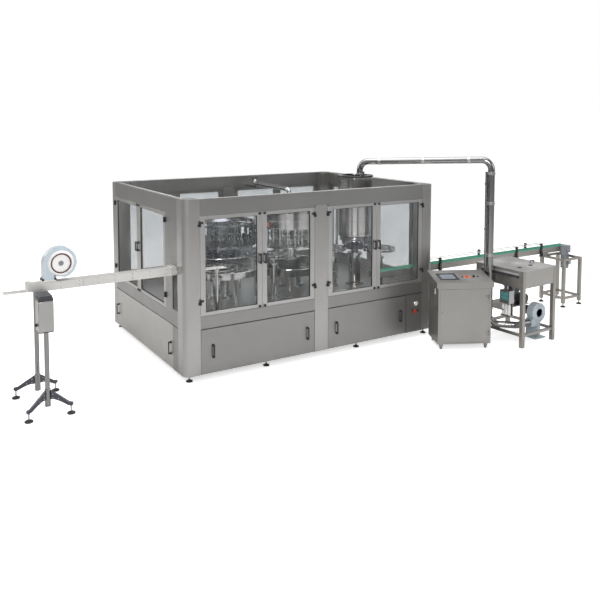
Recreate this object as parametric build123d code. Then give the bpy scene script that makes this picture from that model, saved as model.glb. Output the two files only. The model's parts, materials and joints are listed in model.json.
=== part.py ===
from build123d import *
import math
import os

# A rinsing, filling and capping line. Everything is laid out from the guard housing's
# front left corner at floor level: X along the line, Y to the back, Z up, in millimetres.
# write() moves each piece so that the origin is the middle of the whole line's footprint.

# Whole line
LINE_LEFT = -2100
LINE_RIGHT = 7800
LINE_FRONT = -1276
LINE_BACK = 3060

# Guard housing
WIDTH = 4200
DEPTH = 3060
POST = 224
POST_ROUND = 90
BASE_Z = 90
BED_Z = 690
BED_PLATE = 20
SILL_TOP = 860
FASCIA_Z = 2170
TOP_Z = 2390
WALL = 60
SHEET = 3
MID_POST_LEFT = 1980
MID_POST_RIGHT = 2205
MID_POST_TOP = 2197
SERVICE_LEFT = 3661

# Guard doors
DOOR_GAP = 3
DOOR_THICK = 40
STILE = 73
DOOR_RAIL = 44
PANE_THICK = 8
MEET_LEFT = 1133
MEET_RIGHT = 3078
MEET_SIDE = 1738
SIDE_PANEL_Y = 640
HINGE_OFF = 14
KNUCKLE_R = 12
KNUCKLE_LONG = 32
PIN_R = 5
PIN_PLAY = 0.05
HINGE_HEIGHTS = (1015, 2035)

# Bottle path: wheel pitch radius is stations x PITCH / (2 pi)
FILL_STATIONS = 26
FILL_R = 487.5
PITCH_R = FILL_R / FILL_STATIONS
RINSE_STATIONS = 32
CAP_STATIONS = 10
INFEED_Y = 300
OUTFEED_Y = 330
RINSER_X, RINSER_Y = 1150, 1400
FILLER_X, FILLER_Y = 2450, 1500
CAPPER_X, CAPPER_Y = 3400, 1000
STAR_Z = 1300
STAR_TOP = 1352
STAR_PLATE = 12
STAR_CLEAR = 6
BOTTLE_NECK_R = 17
SHAFT_R = 30
SHAFT_PLAY = 0.05
STAR_STATIONS = {"infeed_star": 16, "transfer_star": 12, "capper_star": 12, "discharge_star": 14}

# Infeed air conveyor and its stand
BEAM_Z = 1395
BEAM_TOP = 1495
BEAM_HALF = 70
BEAM_LEFT = -1785
BEAM_RIGHT = -4
RAIL_Z = 1405
STAND_X = -1690

# Operator cabinet, standing at an angle
CABINET_X, CABINET_Y = 3720, -660
CABINET_TURN = -26.5
CABINET_W = 800
CABINET_D = 520
CABINET_Z = 80
CABINET_H = 930
CONSOLE_FRONT = 1010
CONSOLE_BACK = 1072

# Cap hopper table
TABLE_X, TABLE_Y = 4824, -1276
TABLE_TURN = 3.2
TABLE_W = 786
TABLE_D = 901
TABLE_TOP = 1159
TABLE_LEG = 60

# Cap pipe and sorter
PIPE_R = 51
PIPE_WALL = 3
PIPE_BEND = 150
RISER_X, RISER_Y = 4728, -700
TOWER_R = 280
TOWER_Z = 1520
TOWER_TOP = 2500

# Outfeed conveyor
CONVEYOR_LEFT = 3250
CONVEYOR_RIGHT = LINE_RIGHT
CONVEYOR_TOP = 1050
CONVEYOR_HALF = 80
SIDE_PLATE_Z = 945
FRAME_LEFT, FRAME_RIGHT = 7260, 7760
FRAME_FRONT, FRAME_BACK = -100, 440


def block(x0, x1, y0, y1, z0, z1):
    """A box between two opposite corners."""
    middle = Pos((x0 + x1) / 2, (y0 + y1) / 2, (z0 + z1) / 2)
    return middle * Box(x1 - x0, y1 - y0, z1 - z0)


def upright(x, y, z0, z1, radius):
    """A round bar standing on z0."""
    return Pos(x, y, (z0 + z1) / 2) * Cylinder(radius, z1 - z0)


def bar_x(x0, x1, y, z, radius):
    """A round bar along X."""
    return Pos((x0 + x1) / 2, y, z) * Rot(0, 90, 0) * Cylinder(radius, x1 - x0)


def bar_y(x, y0, y1, z, radius):
    """A round bar along Y."""
    return Pos(x, (y0 + y1) / 2, z) * Rot(90, 0, 0) * Cylinder(radius, y1 - y0)


def ring(x, y, z0, z1, outer, inner):
    """An upright tube."""
    return upright(x, y, z0, z1, outer) - upright(x, y, z0 - 1, z1 + 1, inner)


def around(x, y, count, shape, start=0.0):
    """Copies of a shape made for the axis (0, 0), spread evenly round the axis (x, y)."""
    copies = []
    for index in range(count):
        turn = Rot(0, 0, start + 360 * index / count)
        copies.append(Pos(x, y, 0) * turn * shape)
    return copies


def placed(place, shapes):
    """The shapes carried to a place."""
    return [place * shape for shape in shapes]


def write(node, shapes):
    """Export one named piece in the line's frame."""
    shift = Pos(-(LINE_LEFT + LINE_RIGHT) / 2, -(LINE_FRONT + LINE_BACK) / 2, 0)
    solids = []
    for shape in shapes:
        solids.extend((shift * shape).solids())
    export_step(Compound(children=solids), f"parts/{node}.step")


def pitch_radius(stations):
    """The radius at which bottles sit on a wheel with this many stations."""
    return stations * PITCH_R


def beside(x0, y0, r0, x1, y1, r1, side):
    """Where a wheel's centre lies at r0 from one centre and r1 from another.

    side is 1 for the left of the line from the first centre to the second, -1 for its right.
    """
    gap = math.hypot(x1 - x0, y1 - y0)
    along = (r0 ** 2 - r1 ** 2 + gap ** 2) / (2 * gap)
    off = side * math.sqrt(r0 ** 2 - along ** 2)
    ux, uy = (x1 - x0) / gap, (y1 - y0) / gap
    return x0 + along * ux - off * uy, y0 + along * uy + off * ux


def star_centres():
    """Centres of the four star wheels, each touching its neighbours' pitch circles."""
    infeed_r = pitch_radius(STAR_STATIONS["infeed_star"])
    transfer_r = pitch_radius(STAR_STATIONS["transfer_star"])
    discharge_r = pitch_radius(STAR_STATIONS["discharge_star"])
    rinse_r = pitch_radius(RINSE_STATIONS)
    cap_r = pitch_radius(CAP_STATIONS)
    infeed_y = INFEED_Y + infeed_r
    infeed_x = RINSER_X - math.sqrt((infeed_r + rinse_r) ** 2 - (RINSER_Y - infeed_y) ** 2)
    discharge_y = OUTFEED_Y + discharge_r
    discharge_x = CAPPER_X + math.sqrt((discharge_r + cap_r) ** 2 - (CAPPER_Y - discharge_y) ** 2)
    transfer = beside(RINSER_X, RINSER_Y, rinse_r + transfer_r,
                      FILLER_X, FILLER_Y, FILL_R + transfer_r, -1)
    capper = beside(FILLER_X, FILLER_Y, FILL_R + transfer_r,
                    CAPPER_X, CAPPER_Y, cap_r + transfer_r, -1)
    return {
        "infeed_star": (infeed_x, infeed_y),
        "transfer_star": transfer,
        "capper_star": capper,
        "discharge_star": (discharge_x, discharge_y),
    }


# ---------------------------------------------------------------- guard housing

def base_frame():
    """Ladder frame of square tube under the bed, with cross bars and uprights."""
    low, high = BASE_Z + 10, BED_Z
    tube = 80
    inset = 60
    shapes = []
    for z in (low, high - tube):
        for y in (inset, DEPTH / 2 - tube / 2, DEPTH - inset - tube):
            shapes.append(block(POST, WIDTH - POST, y, y + tube, z, z + tube))
        for x in (POST + 300, WIDTH / 2 - tube / 2, WIDTH - POST - 300 - tube):
            shapes.append(block(x, x + tube, inset + tube, DEPTH / 2 - tube / 2, z, z + tube))
            shapes.append(block(x, x + tube, DEPTH / 2 + tube / 2, DEPTH - inset - tube, z, z + tube))
    for x in (POST + 300, WIDTH - POST - 300 - tube):
        for y in (inset, DEPTH / 2 - tube / 2, DEPTH - inset - tube):
            shapes.append(block(x, x + tube, y, y + tube, low + tube, high - tube))
    return shapes


def bed_plate():
    """The stainless deck that every turret stands on."""
    edge = WALL
    deck = block(edge, WIDTH - edge, edge, DEPTH - edge, BED_Z, BED_Z + BED_PLATE)
    for x in (0, WIDTH):
        for y in (0, DEPTH):
            deck -= Pos(x, y, BED_Z) * Box(2 * POST + 2, 2 * POST + 2, 3 * BED_PLATE)
    return [deck]


def corner_post(x0, y0, out_x, out_y):
    """One corner post with its outer edge rounded."""
    body = block(x0, x0 + POST, y0, y0 + POST, BASE_Z, TOP_Z)
    edges = body.edges().filter_by(Axis.Z)
    outer = edges.sort_by_distance((out_x, out_y, (BASE_Z + TOP_Z) / 2))[0]
    return fillet(outer, POST_ROUND)


def middle_post(y0, y1):
    """The wide post between two bays, with rounded shoulders."""
    body = block(MID_POST_LEFT, MID_POST_RIGHT, y0, y1, BASE_Z, MID_POST_TOP)
    shoulders = body.edges().filter_by(Axis.Y).group_by(Axis.Z)[-1]
    return fillet(shoulders, 40)


def corner_posts():
    return [
        corner_post(0, 0, 0, 0),
        corner_post(WIDTH - POST, 0, WIDTH, 0),
        corner_post(0, DEPTH - POST, 0, DEPTH),
        corner_post(WIDTH - POST, DEPTH - POST, WIDTH, DEPTH),
        middle_post(0, WALL - 1),
        middle_post(DEPTH - WALL + 1, DEPTH),
    ]


def cross_rails():
    """Fascia boards round the top and sill boards round the deck."""
    shapes = []
    far_x = WIDTH - POST
    far_y = DEPTH - POST
    notch = Pos((MID_POST_LEFT + MID_POST_RIGHT) / 2, 0, FASCIA_Z) * Box(
        MID_POST_RIGHT - MID_POST_LEFT + 1, 192, 2 * (MID_POST_TOP - FASCIA_Z) + 1)
    front = block(POST, far_x, 0, WALL, FASCIA_Z, TOP_Z) - notch
    back = block(POST, far_x, DEPTH - WALL, DEPTH, FASCIA_Z, TOP_Z) - Pos(0, DEPTH, 0) * notch
    shapes.append(front)
    shapes.append(back)
    for x0 in (0, WIDTH - WALL):
        shapes.append(block(x0, x0 + WALL, POST, far_y, FASCIA_Z, TOP_Z))
    sill = BED_Z + 5
    for x0, x1 in ((POST, MID_POST_LEFT), (MID_POST_RIGHT, far_x)):
        shapes.append(block(x0, x1, 0, WALL - 1, sill, SILL_TOP))
        shapes.append(block(x0, x1, DEPTH - WALL + 1, DEPTH, sill, SILL_TOP))
    for x0, x1 in ((0, WALL - 1), (WIDTH - WALL + 1, WIDTH)):
        shapes.append(block(x0, x1, POST, far_y, sill, SILL_TOP))
    return shapes


def panel_face(x0, x1, z0, z1):
    """A shallow folded panel on the front, with a turned rim behind its face."""
    face = block(x0, x1, 0, 30, z0, z1)
    return face - block(x0 + SHEET, x1 - SHEET, SHEET, 31, z0 + SHEET, z1 - SHEET)


def fixed_lower_panels():
    """Lower cladding of the back, the right side, the rear left side and the service panel."""
    z0, z1 = BASE_Z, BED_Z - 6
    mid_y = DEPTH / 2
    shapes = [block(SERVICE_LEFT + 3, WIDTH - POST, 0, 20, z0, z1)]
    for x0, x1 in ((POST, MID_POST_LEFT), (MID_POST_RIGHT, WIDTH - POST)):
        shapes.append(block(x0, x1, DEPTH - 20, DEPTH, z0, z1))
    for y0, y1 in ((POST, mid_y - 2), (mid_y + 2, DEPTH - POST)):
        shapes.append(block(WIDTH - 20, WIDTH, y0, y1, z0, z1))
    shapes.append(block(0, 20, POST, SIDE_PANEL_Y - 240, z0, z1))
    shapes[0] -= bar_y(STOP_X, -5, 25, STOP_Z, STOP_STEM_R + 0.05)
    return shapes


def c_handle_front(x, z0, z1):
    """A bow handle on the front: two stubs and an upright grip."""
    grip = block(x - 9, x + 9, -38, -26, z0, z1)
    for z in (z0, z1 - 22):
        grip += block(x - 9, x + 9, -30, 0, z, z + 22)
    return grip


def front_panel(x0, x1, handle_xs):
    """A lift-off panel on the front with its bow handles."""
    z0, z1 = BASE_Z + 2, BED_Z - 8
    shapes = [panel_face(x0 + 3, x1 - 3, z0, z1)]
    shapes.extend(c_handle_front(x, 295, 469) for x in handle_xs)
    return shapes


def side_panel():
    """The lift-off panel on the infeed side."""
    z0, z1 = BASE_Z + 2, BED_Z - 8
    y0, y1 = SIDE_PANEL_Y - 237, DEPTH - POST - 3
    face = block(0, 30, y0, y1, z0, z1) - block(SHEET, 31, y0 + SHEET, y1 - SHEET, z0 + SHEET, z1 - SHEET)
    shapes = [face]
    for y in (y0 + 80, y1 - 80):
        grip = block(-38, -26, y - 9, y + 9, 275, 445)
        for z in (275, 423):
            grip += block(-30, 0, y - 9, y + 9, z, z + 22)
        shapes.append(grip)
    return shapes


def door_bars(u0, u1, z0, z1):
    """The four bars of a door, as boxes in (u, z): left stile, right stile, bottom, top."""
    return [
        (u0, u0 + STILE, z0, z1),
        (u1 - STILE, u1, z0, z1),
        (u0 + STILE, u1 - STILE, z0, z0 + DOOR_RAIL),
        (u0 + STILE, u1 - STILE, z1 - DOOR_RAIL, z1),
    ]


DOOR_LOW = SILL_TOP + 3
DOOR_HIGH = FASCIA_Z - 3


def knuckle_set(sign):
    """Door side of a hinge at the origin: bored knuckle and leaf; the door lies towards sign."""
    z0 = KNUCKLE_LONG + 0.5
    z1 = 2 * KNUCKLE_LONG
    knuckle = upright(0, 0, z0, z1, KNUCKLE_R)
    near, far = sorted((0, 45 * sign))
    knuckle += block(near, far, HINGE_OFF - 8, HINGE_OFF, z0, z1)
    return knuckle - upright(0, 0, z0 - 1, z1 + 1, PIN_R + PIN_PLAY)


def pin_set(sign):
    """Post side of a hinge at the origin: solid knuckle, leaf and the pin that stands on it."""
    body = upright(0, 0, 0, KNUCKLE_LONG, KNUCKLE_R)
    near, far = sorted((0, -28 * sign))
    body += block(near, far, HINGE_OFF - 8, HINGE_OFF, 0, KNUCKLE_LONG)
    body += upright(0, 0, KNUCKLE_LONG, 2 * KNUCKLE_LONG, PIN_R)
    return body


def door_local(width, sign):
    """A door whose hinge axis is the origin, its face HINGE_OFF behind, running towards sign."""
    gap = 2
    u0, u1 = sorted((sign * gap, sign * width))
    shapes = []
    for a0, a1, z0, z1 in door_bars(u0, u1, DOOR_LOW, DOOR_HIGH):
        shapes.append(block(a0, a1, HINGE_OFF, HINGE_OFF + DOOR_THICK, z0, z1))
    for z in HINGE_HEIGHTS:
        shapes.append(Pos(0, 0, z) * knuckle_set(sign))
    grip_u = sign * (width - STILE / 2)
    handle = block(grip_u - 9, grip_u + 9, -26, -14, 1470, 1600)
    for z in (1470, 1580):
        handle += block(grip_u - 9, grip_u + 9, -18, HINGE_OFF, z, z + 20)
    shapes.append(handle)
    for z in (DOOR_LOW + 2, DOOR_HIGH - 34):
        shapes.append(block(grip_u - 17, grip_u + 17, HINGE_OFF - 12, HINGE_OFF, z, z + 32))
    return shapes


def pane_local(width, sign):
    """The clear pane that fills a door."""
    u0, u1 = sorted((sign * 2, sign * width))
    y0 = HINGE_OFF + 16
    return [block(u0 + STILE, u1 - STILE, y0, y0 + PANE_THICK, DOOR_LOW + DOOR_RAIL, DOOR_HIGH - DOOR_RAIL)]


def door_places():
    """Door name to (hinge place, width, side): front doors in order, then the infeed side."""
    half = DOOR_GAP / 2
    left, right = POST + 1, MID_POST_LEFT - 1
    left_2, right_2 = MID_POST_RIGHT + 1, WIDTH - POST - 1
    near, far = SIDE_PANEL_Y + 1, DEPTH - POST - 1
    side = Rot(0, 0, -90)
    return {
        "guard_door_1": (Pos(left, -HINGE_OFF, 0), MEET_LEFT - half - left, 1),
        "guard_door_2": (Pos(right, -HINGE_OFF, 0), right - MEET_LEFT - half, -1),
        "guard_door_3": (Pos(left_2, -HINGE_OFF, 0), MEET_RIGHT - half - left_2, 1),
        "guard_door_4": (Pos(right_2, -HINGE_OFF, 0), right_2 - MEET_RIGHT - half, -1),
        "side_door_1": (Pos(-HINGE_OFF, far, 0) * side, far - MEET_SIDE - half, 1),
        "side_door_2": (Pos(-HINGE_OFF, near, 0) * side, MEET_SIDE - half - near, -1),
    }


def hinge_pins():
    shapes = []
    for place, width, sign in door_places().values():
        for z in HINGE_HEIGHTS:
            shapes.append(place * Pos(0, 0, z) * pin_set(sign))
    return shapes


# Fixed guards: (plane, start, end) along the back and the right side
BACK_BAYS = ((POST, 1102), (1102, MID_POST_LEFT), (MID_POST_RIGHT, 3090), (3090, WIDTH - POST))
RIGHT_BAYS = ((460, 1600), (1600, DEPTH - POST))
OUT_SLOT_Y = (228, 456)
OUT_SLOT_Z = (900, 1420)
IN_SLOT_Y = (228, 400)
IN_SLOT_Z = (906, BEAM_TOP + 3)


def fixed_guard_frames():
    """Frames of the windows that don't open, and the solid plates beside both bottle slots."""
    z0, z1 = SILL_TOP, FASCIA_Z
    shapes = []
    for x0, x1 in BACK_BAYS:
        for a0, a1, b0, b1 in door_bars(x0 + 0.5, x1 - 0.5, z0, z1):
            shapes.append(block(a0, a1, DEPTH - DOOR_THICK, DEPTH, b0, b1))
    for y0, y1 in RIGHT_BAYS:
        for a0, a1, b0, b1 in door_bars(y0 + 0.5, y1 - 0.5, z0, z1):
            shapes.append(block(WIDTH - DOOR_THICK, WIDTH, a0, a1, b0, b1))
    thick = 20
    shapes.append(block(WIDTH - thick, WIDTH, POST, OUT_SLOT_Y[1], OUT_SLOT_Z[1], z1))
    shapes.append(block(WIDTH - thick, WIDTH, POST, OUT_SLOT_Y[1], z0, OUT_SLOT_Z[0]))
    shapes.append(block(0, thick, IN_SLOT_Y[1], SIDE_PANEL_Y - 1, z0, z1))
    shapes.append(block(0, thick, POST, IN_SLOT_Y[1], IN_SLOT_Z[1], z1))
    shapes.append(block(0, thick, POST, IN_SLOT_Y[1], z0, IN_SLOT_Z[0]))
    return shapes


def fixed_guard_panes():
    shapes = []
    z0, z1 = SILL_TOP + DOOR_RAIL, FASCIA_Z - DOOR_RAIL
    for x0, x1 in BACK_BAYS:
        shapes.append(block(x0 + STILE + 0.5, x1 - STILE - 0.5, DEPTH - 24, DEPTH - 16, z0, z1))
    for y0, y1 in RIGHT_BAYS:
        shapes.append(block(WIDTH - 24, WIDTH - 16, y0 + STILE + 0.5, y1 - STILE - 0.5, z0, z1))
    return shapes


def foot(x, y, top, pad_r, rod_r):
    """A levelling foot: round pad, rod and lock nut."""
    body = upright(x, y, 0, 14, pad_r)
    body += Pos(x, y, 20) * Cone(pad_r * 0.6, rod_r, 12)
    body += upright(x, y, 26, top, rod_r)
    body += Pos(x, y, top - 12) * extrude(RegularPolygon(rod_r * 1.8, 6), 10)
    return body


def levelling_feet():
    """Feet of the guard housing."""
    shapes = []
    for x in (100, 1243, 2780, WIDTH - 100):
        corner = x < POST or x > WIDTH - POST
        top = BASE_Z if corner else BASE_Z + 10
        for y in (100, DEPTH - 100):
            shapes.append(foot(x, y, top, 45, 12))
    return shapes


STOP_X, STOP_Z = 3814, 415
STOP_STEM_R = 11
GAUGE_X, GAUGE_Z = 3843, 538


def pressure_gauge():
    """Round dial on the service panel, and the small regulator knob beside it."""
    dial = bar_y(GAUGE_X, -26, 0, GAUGE_Z, 40)
    knob = bar_y(3890, -24, 0, STOP_Z, 14)
    return [dial, knob]


def stop_button():
    """Mushroom head on a stem that slides in the service panel."""
    head = bar_y(STOP_X, -34, -14, STOP_Z, 24)
    head += bar_y(STOP_X, -16, 24, STOP_Z, STOP_STEM_R)
    return [head]


# ---------------------------------------------------------------- turrets

RINSE_TABLE_R = 590
RINSE_RING_R = 560
GRIP_Z = 1560
GRIP_TOP = 1760
RINSE_TOP = 1960
BOWL_R = 575
BOWL_INNER = 330
BOWL_Z = 1690
BOWL_TOP = 1960
VALVE_Z = 1440
COLUMN_R = 90


def star_wheel(stations, low, high):
    """Two pocketed plates on a hub, centred on the origin."""
    radius = pitch_radius(stations)
    plates = upright(0, 0, low, low + STAR_PLATE, radius - STAR_CLEAR)
    plates += upright(0, 0, high - STAR_PLATE, high, radius - STAR_CLEAR)
    for pocket in around(0, 0, stations, upright(radius, 0, low - 1, high + 1, BOTTLE_NECK_R + 8)):
        plates -= pocket
    lightening = 4 if stations < 13 else 6
    hole = upright(radius * 0.56, 0, low - 1, high + 1, radius * 0.19)
    for cut in around(0, 0, lightening, hole):
        plates -= cut
    plates += upright(0, 0, low, high, SHAFT_R * 2)
    return plates


def star(name):
    """One star wheel, its shaft below and its clamp nut on top."""
    x, y = star_centres()[name]
    wheel = star_wheel(STAR_STATIONS[name], STAR_Z, STAR_TOP)
    shaft = upright(0, 0, BED_Z + BED_PLATE + 10, STAR_Z, SHAFT_R)
    nut = upright(0, 0, STAR_TOP, STAR_TOP + 24, 34)
    return placed(Pos(x, y, 0), [wheel, shaft, nut])


def star_pedestals():
    """Flanged bearing columns of the star wheels, and the bracket that carries the infeed rails."""
    deck = BED_Z + BED_PLATE
    shapes = []
    for x, y in star_centres().values():
        column = upright(x, y, deck, deck + 24, 95)
        column += upright(x, y, deck + 24, 1180, 58)
        column += upright(x, y, 1180, 1210, 72)
        column -= upright(x, y, deck + 8, 1300, SHAFT_R + SHAFT_PLAY)
        shapes.append(column)
    rail_y = INFEED_Y - BEAM_HALF + 6
    rail_post = upright(560, rail_y - 20, deck, RAIL_Z - 12, 20)
    rail_post += block(540, 580, rail_y - 40, rail_y, RAIL_Z - 12, RAIL_Z + 8)
    shapes.append(rail_post)
    return shapes


def rinser_base():
    """Pedestal, drip trough and the chrome columns that carry it."""
    deck = BED_Z + BED_PLATE
    x, y = RINSER_X, RINSER_Y
    pedestal = upright(x, y, deck, deck + 30, 200)
    pedestal += upright(x, y, deck + 30, 1150, COLUMN_R + 50)
    pedestal -= upright(x, y, deck + 10, 1200, COLUMN_R + SHAFT_PLAY)
    trough_z = 1100
    trough = ring(x, y, trough_z, trough_z + 4, 680, 430)
    trough += ring(x, y, trough_z, trough_z + 90, 680, 676)
    trough += ring(x, y, trough_z, trough_z + 60, 434, 430)
    shapes = [pedestal, trough]
    for leg in around(x, y, 6, upright(555, 0, deck, trough_z, 24), start=30):
        shapes.append(leg)
    return shapes


def rinser_carousel():
    """Rotating shaft, table, drum, gripper disc, water distributor and its spoked top ring."""
    hub_r, ring_out, ring_in = 190, 540, 505
    ring_low, ring_high = 1835, 1865
    hub = upright(0, 0, GRIP_Z, 1880, hub_r)
    hub += Pos(0, 0, 1920) * Cone(hub_r, 90, 80)
    hub += upright(0, 0, RINSE_TOP, 2060, 45)
    top_ring = ring(0, 0, ring_low, ring_high, ring_out, ring_in)
    spoke = bar_x(hub_r - 40, ring_out - 20, 0, 1850, 12)
    spoke = spoke - upright(0, 0, GRIP_Z, 1880, hub_r) - top_ring
    shapes = [
        upright(0, 0, BED_Z + BED_PLATE + 12, 1380, COLUMN_R),
        upright(0, 0, 1380, 1404, RINSE_TABLE_R),
        upright(0, 0, 1404, 1520, 250),
        upright(0, 0, 1520, GRIP_Z, RINSE_RING_R),
        hub,
        top_ring,
    ]
    shapes.extend(around(0, 0, 8, spoke))
    shapes.extend(around(0, 0, 16, upright(522, 0, GRIP_Z, ring_low, 11), start=360 / 32))
    return placed(Pos(RINSER_X, RINSER_Y, 0), shapes)


def rinser_grippers():
    """Tilting bottle grippers round the rim: a carrier arm with a head and two jaws."""
    arm = block(535, 620, -14, 14, GRIP_Z, GRIP_Z + 40)
    arm += block(600, 640, -22, 22, GRIP_Z + 10, GRIP_TOP)
    arm += block(640, 684, -26, -12, GRIP_Z + 120, GRIP_Z + 150)
    arm += block(640, 684, 12, 26, GRIP_Z + 120, GRIP_Z + 150)
    return around(RINSER_X, RINSER_Y, RINSE_STATIONS, arm)


def filler_base():
    """Pedestal of the filling carousel, its lifting jacks and the drip tray round it."""
    deck = BED_Z + BED_PLATE
    x, y = FILLER_X, FILLER_Y
    pedestal = upright(x, y, deck, deck + 30, 240)
    pedestal += upright(x, y, deck + 30, 1180, 180)
    pedestal -= upright(x, y, deck + 10, 1300, 120 + SHAFT_PLAY)
    tray_z = 960
    tray = ring(x, y, tray_z, tray_z + 4, 590, 300)
    tray += ring(x, y, tray_z, tray_z + 110, 590, 586)
    tray += ring(x, y, tray_z, tray_z + 60, 304, 300)
    shapes = [pedestal, tray]
    for leg in around(x, y, 6, upright(450, 0, deck, tray_z, 30)):
        shapes.append(leg)
    return shapes


def filler_bowl():
    """Rotating shaft, neck-ring table, product ring tank with its lid, and the distributor."""
    support = BOWL_Z - 30
    tank = upright(0, 0, BOWL_Z, BOWL_TOP, BOWL_R)
    tank += upright(0, 0, BOWL_TOP, BOWL_TOP + 14, BOWL_R + 10)
    tank += Pos(0, 0, BOWL_TOP + 34) * Cone(BOWL_INNER, 140, 40)
    for neck in around(0, 0, 6, upright(455, 0, BOWL_TOP + 14, BOWL_TOP + 60, 32), start=15):
        tank += neck
    distributor = upright(0, 0, BOWL_TOP + 54, 2100, 80) + upright(0, 0, 2100, 2130, 110)
    shapes = [
        upright(0, 0, BED_Z + BED_PLATE + 12, 1376, 120),
        upright(0, 0, 1376, 1400, FILL_R - STAR_CLEAR),
        upright(0, 0, 1400, 1480, 160),
        upright(0, 0, support, BOWL_Z, 400),
        tank,
        distributor,
    ]
    shapes.extend(around(0, 0, 8, upright(280, 0, 1400, support, 22)))
    return placed(Pos(FILLER_X, FILLER_Y, 0), shapes)


def filler_valves():
    """One filling valve per station: body under the tank, bell, and lift roller behind."""
    valve = upright(FILL_R, 0, VALVE_Z + 60, BOWL_Z, 26)
    valve += upright(FILL_R, 0, VALVE_Z, VALVE_Z + 60, 34)
    valve += Pos(FILL_R, 0, VALVE_Z - 15) * Cone(20, 34, 30)
    valve += upright(FILL_R, 0, 1600, 1630, 38)
    valve += block(FILL_R + 20, FILL_R + 60, -12, 12, 1560, 1590)
    return around(FILLER_X, FILLER_Y, FILL_STATIONS, valve)


def capper_column():
    """Fixed pedestal of the capping turret with its bored bearing."""
    deck = BED_Z + BED_PLATE
    body = upright(0, 0, deck, deck + 30, 150)
    body += upright(0, 0, deck + 30, 1190, 95)
    body += upright(0, 0, 1190, 1230, 120)
    body -= upright(0, 0, deck + 8, 1300, 60 + SHAFT_PLAY)
    return placed(Pos(CAPPER_X, CAPPER_Y, 0), [body])


def capper_heads():
    """Capping turret: shaft, neck star, carrier ring and its torque heads."""
    carrier_z, carrier_top = 1440, 1505
    radius = pitch_radius(CAP_STATIONS)
    head = upright(radius, 0, 1400, carrier_z, 30) + Pos(radius, 0, 1385) * Cone(20, 30, 30)
    shapes = [
        upright(0, 0, BED_Z + BED_PLATE + 10, STAR_Z, 60),
        star_wheel(CAP_STATIONS, STAR_Z, STAR_TOP),
        upright(0, 0, STAR_TOP, carrier_z, 70),
        upright(0, 0, carrier_z, carrier_top, 245),
    ]
    shapes.extend(around(0, 0, CAP_STATIONS, head, start=18))
    return placed(Pos(CAPPER_X, CAPPER_Y, 0), shapes)


def cap_sorter():
    """Cap sorting bowl above the turret, its lid, chute and the three posts that carry it."""
    deck = BED_Z + BED_PLATE
    x, y = CAPPER_X, CAPPER_Y
    bowl = upright(0, 0, TOWER_Z, TOWER_TOP - 30, TOWER_R)
    bowl += upright(0, 0, TOWER_Z + 30, TOWER_Z + 60, TOWER_R + 8)
    bowl += upright(0, 0, 2030, 2050, TOWER_R + 8)
    bowl += upright(0, 0, TOWER_TOP - 30, TOWER_TOP, TOWER_R + 12)
    shapes = [bowl]
    posts = []
    for angle in (60, 120, -20):
        post = upright(325, 0, deck, 2000, 20)
        arm = block(270, 345, -18, 18, 1960, 2000) - upright(0, 0, 1900, 2040, TOWER_R)
        posts.append(Rot(0, 0, angle) * (post + arm))
    shapes.extend(posts)
    ring_handle = Pos(-90, -110, TOWER_TOP + 22) * Torus(34, 7)
    stem = upright(-90, -110, TOWER_TOP, TOWER_TOP + 40, 9)
    cross = bar_x(-124, -56, -110, TOWER_TOP + 22, 5)
    shapes.append(ring_handle + stem + cross)
    return placed(Pos(x, y, 0), shapes)


INLET_X, INLET_Y = FILLER_X, 2700
INLET_TOP = 2380
INLET_BORE = 30
INLET_DEEP = 60
PRODUCT_R = 38
PRODUCT_Z = 2270


def pipe(points, bends, radius):
    """A round pipe along straight runs joined by arcs."""
    route = FilletPolyline(*points, radius=bends)
    start = Plane(origin=route @ 0, z_dir=route % 0)
    return sweep(start * Circle(radius), path=route)


def product_piping():
    """Product pipe from its upright inlet ferrule, forward and down to the distributor."""
    run = pipe([(FILLER_X, FILLER_Y, 2132), (FILLER_X, FILLER_Y, PRODUCT_Z),
                (INLET_X, INLET_Y, PRODUCT_Z), (INLET_X, INLET_Y, INLET_TOP)], 90, PRODUCT_R)
    run += upright(FILLER_X, FILLER_Y, 2132, 2150, 90)
    run += upright(INLET_X, INLET_Y, INLET_TOP - 8, INLET_TOP, 52)
    run -= upright(INLET_X, INLET_Y, INLET_TOP - INLET_DEEP, INLET_TOP + 1, INLET_BORE)
    strap = block(INLET_X - 20, INLET_X + 20, INLET_Y - 20, DEPTH - WALL, PRODUCT_Z - 70, PRODUCT_Z - 38)
    return [run, strap]


# ---------------------------------------------------------------- infeed air conveyor

def infeed_beam():
    """Inverted channel with its air plenum, and the two rails that carry bottle necks."""
    y = INFEED_Y
    plenum_z = BEAM_Z + 42
    shapes = [block(BEAM_LEFT, BEAM_RIGHT, y - BEAM_HALF, y + BEAM_HALF, plenum_z, BEAM_TOP)]
    for side in (-1, 1):
        y0, y1 = sorted((y + side * (BEAM_HALF - 6), y + side * BEAM_HALF))
        shapes.append(block(BEAM_LEFT, BEAM_RIGHT, y0, y1, BEAM_Z, plenum_z))
        y0, y1 = sorted((y + side * 16, y + side * (BEAM_HALF - 6)))
        shapes.append(block(LINE_LEFT, 715, y0, y1, RAIL_Z, RAIL_Z + 8))
    shapes.append(block(BEAM_LEFT - 60, BEAM_LEFT, y - BEAM_HALF, y + BEAM_HALF, RAIL_Z + 8, BEAM_TOP + 12))
    flange = block(-72, BEAM_RIGHT, y - 94, y + 94, BEAM_TOP, BEAM_TOP + 8)
    for x in (-56, -20):
        for dy in (-82, 82):
            flange -= upright(x, y + dy, BEAM_TOP - 1, BEAM_TOP + 9, 4.5)
    shapes.append(flange)
    return shapes


BLOWER_X, BLOWER_Z = -1455, 1706
SCROLL_R = 190
BLOWER_WIDE = 120
IMPELLER_R = 105


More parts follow.
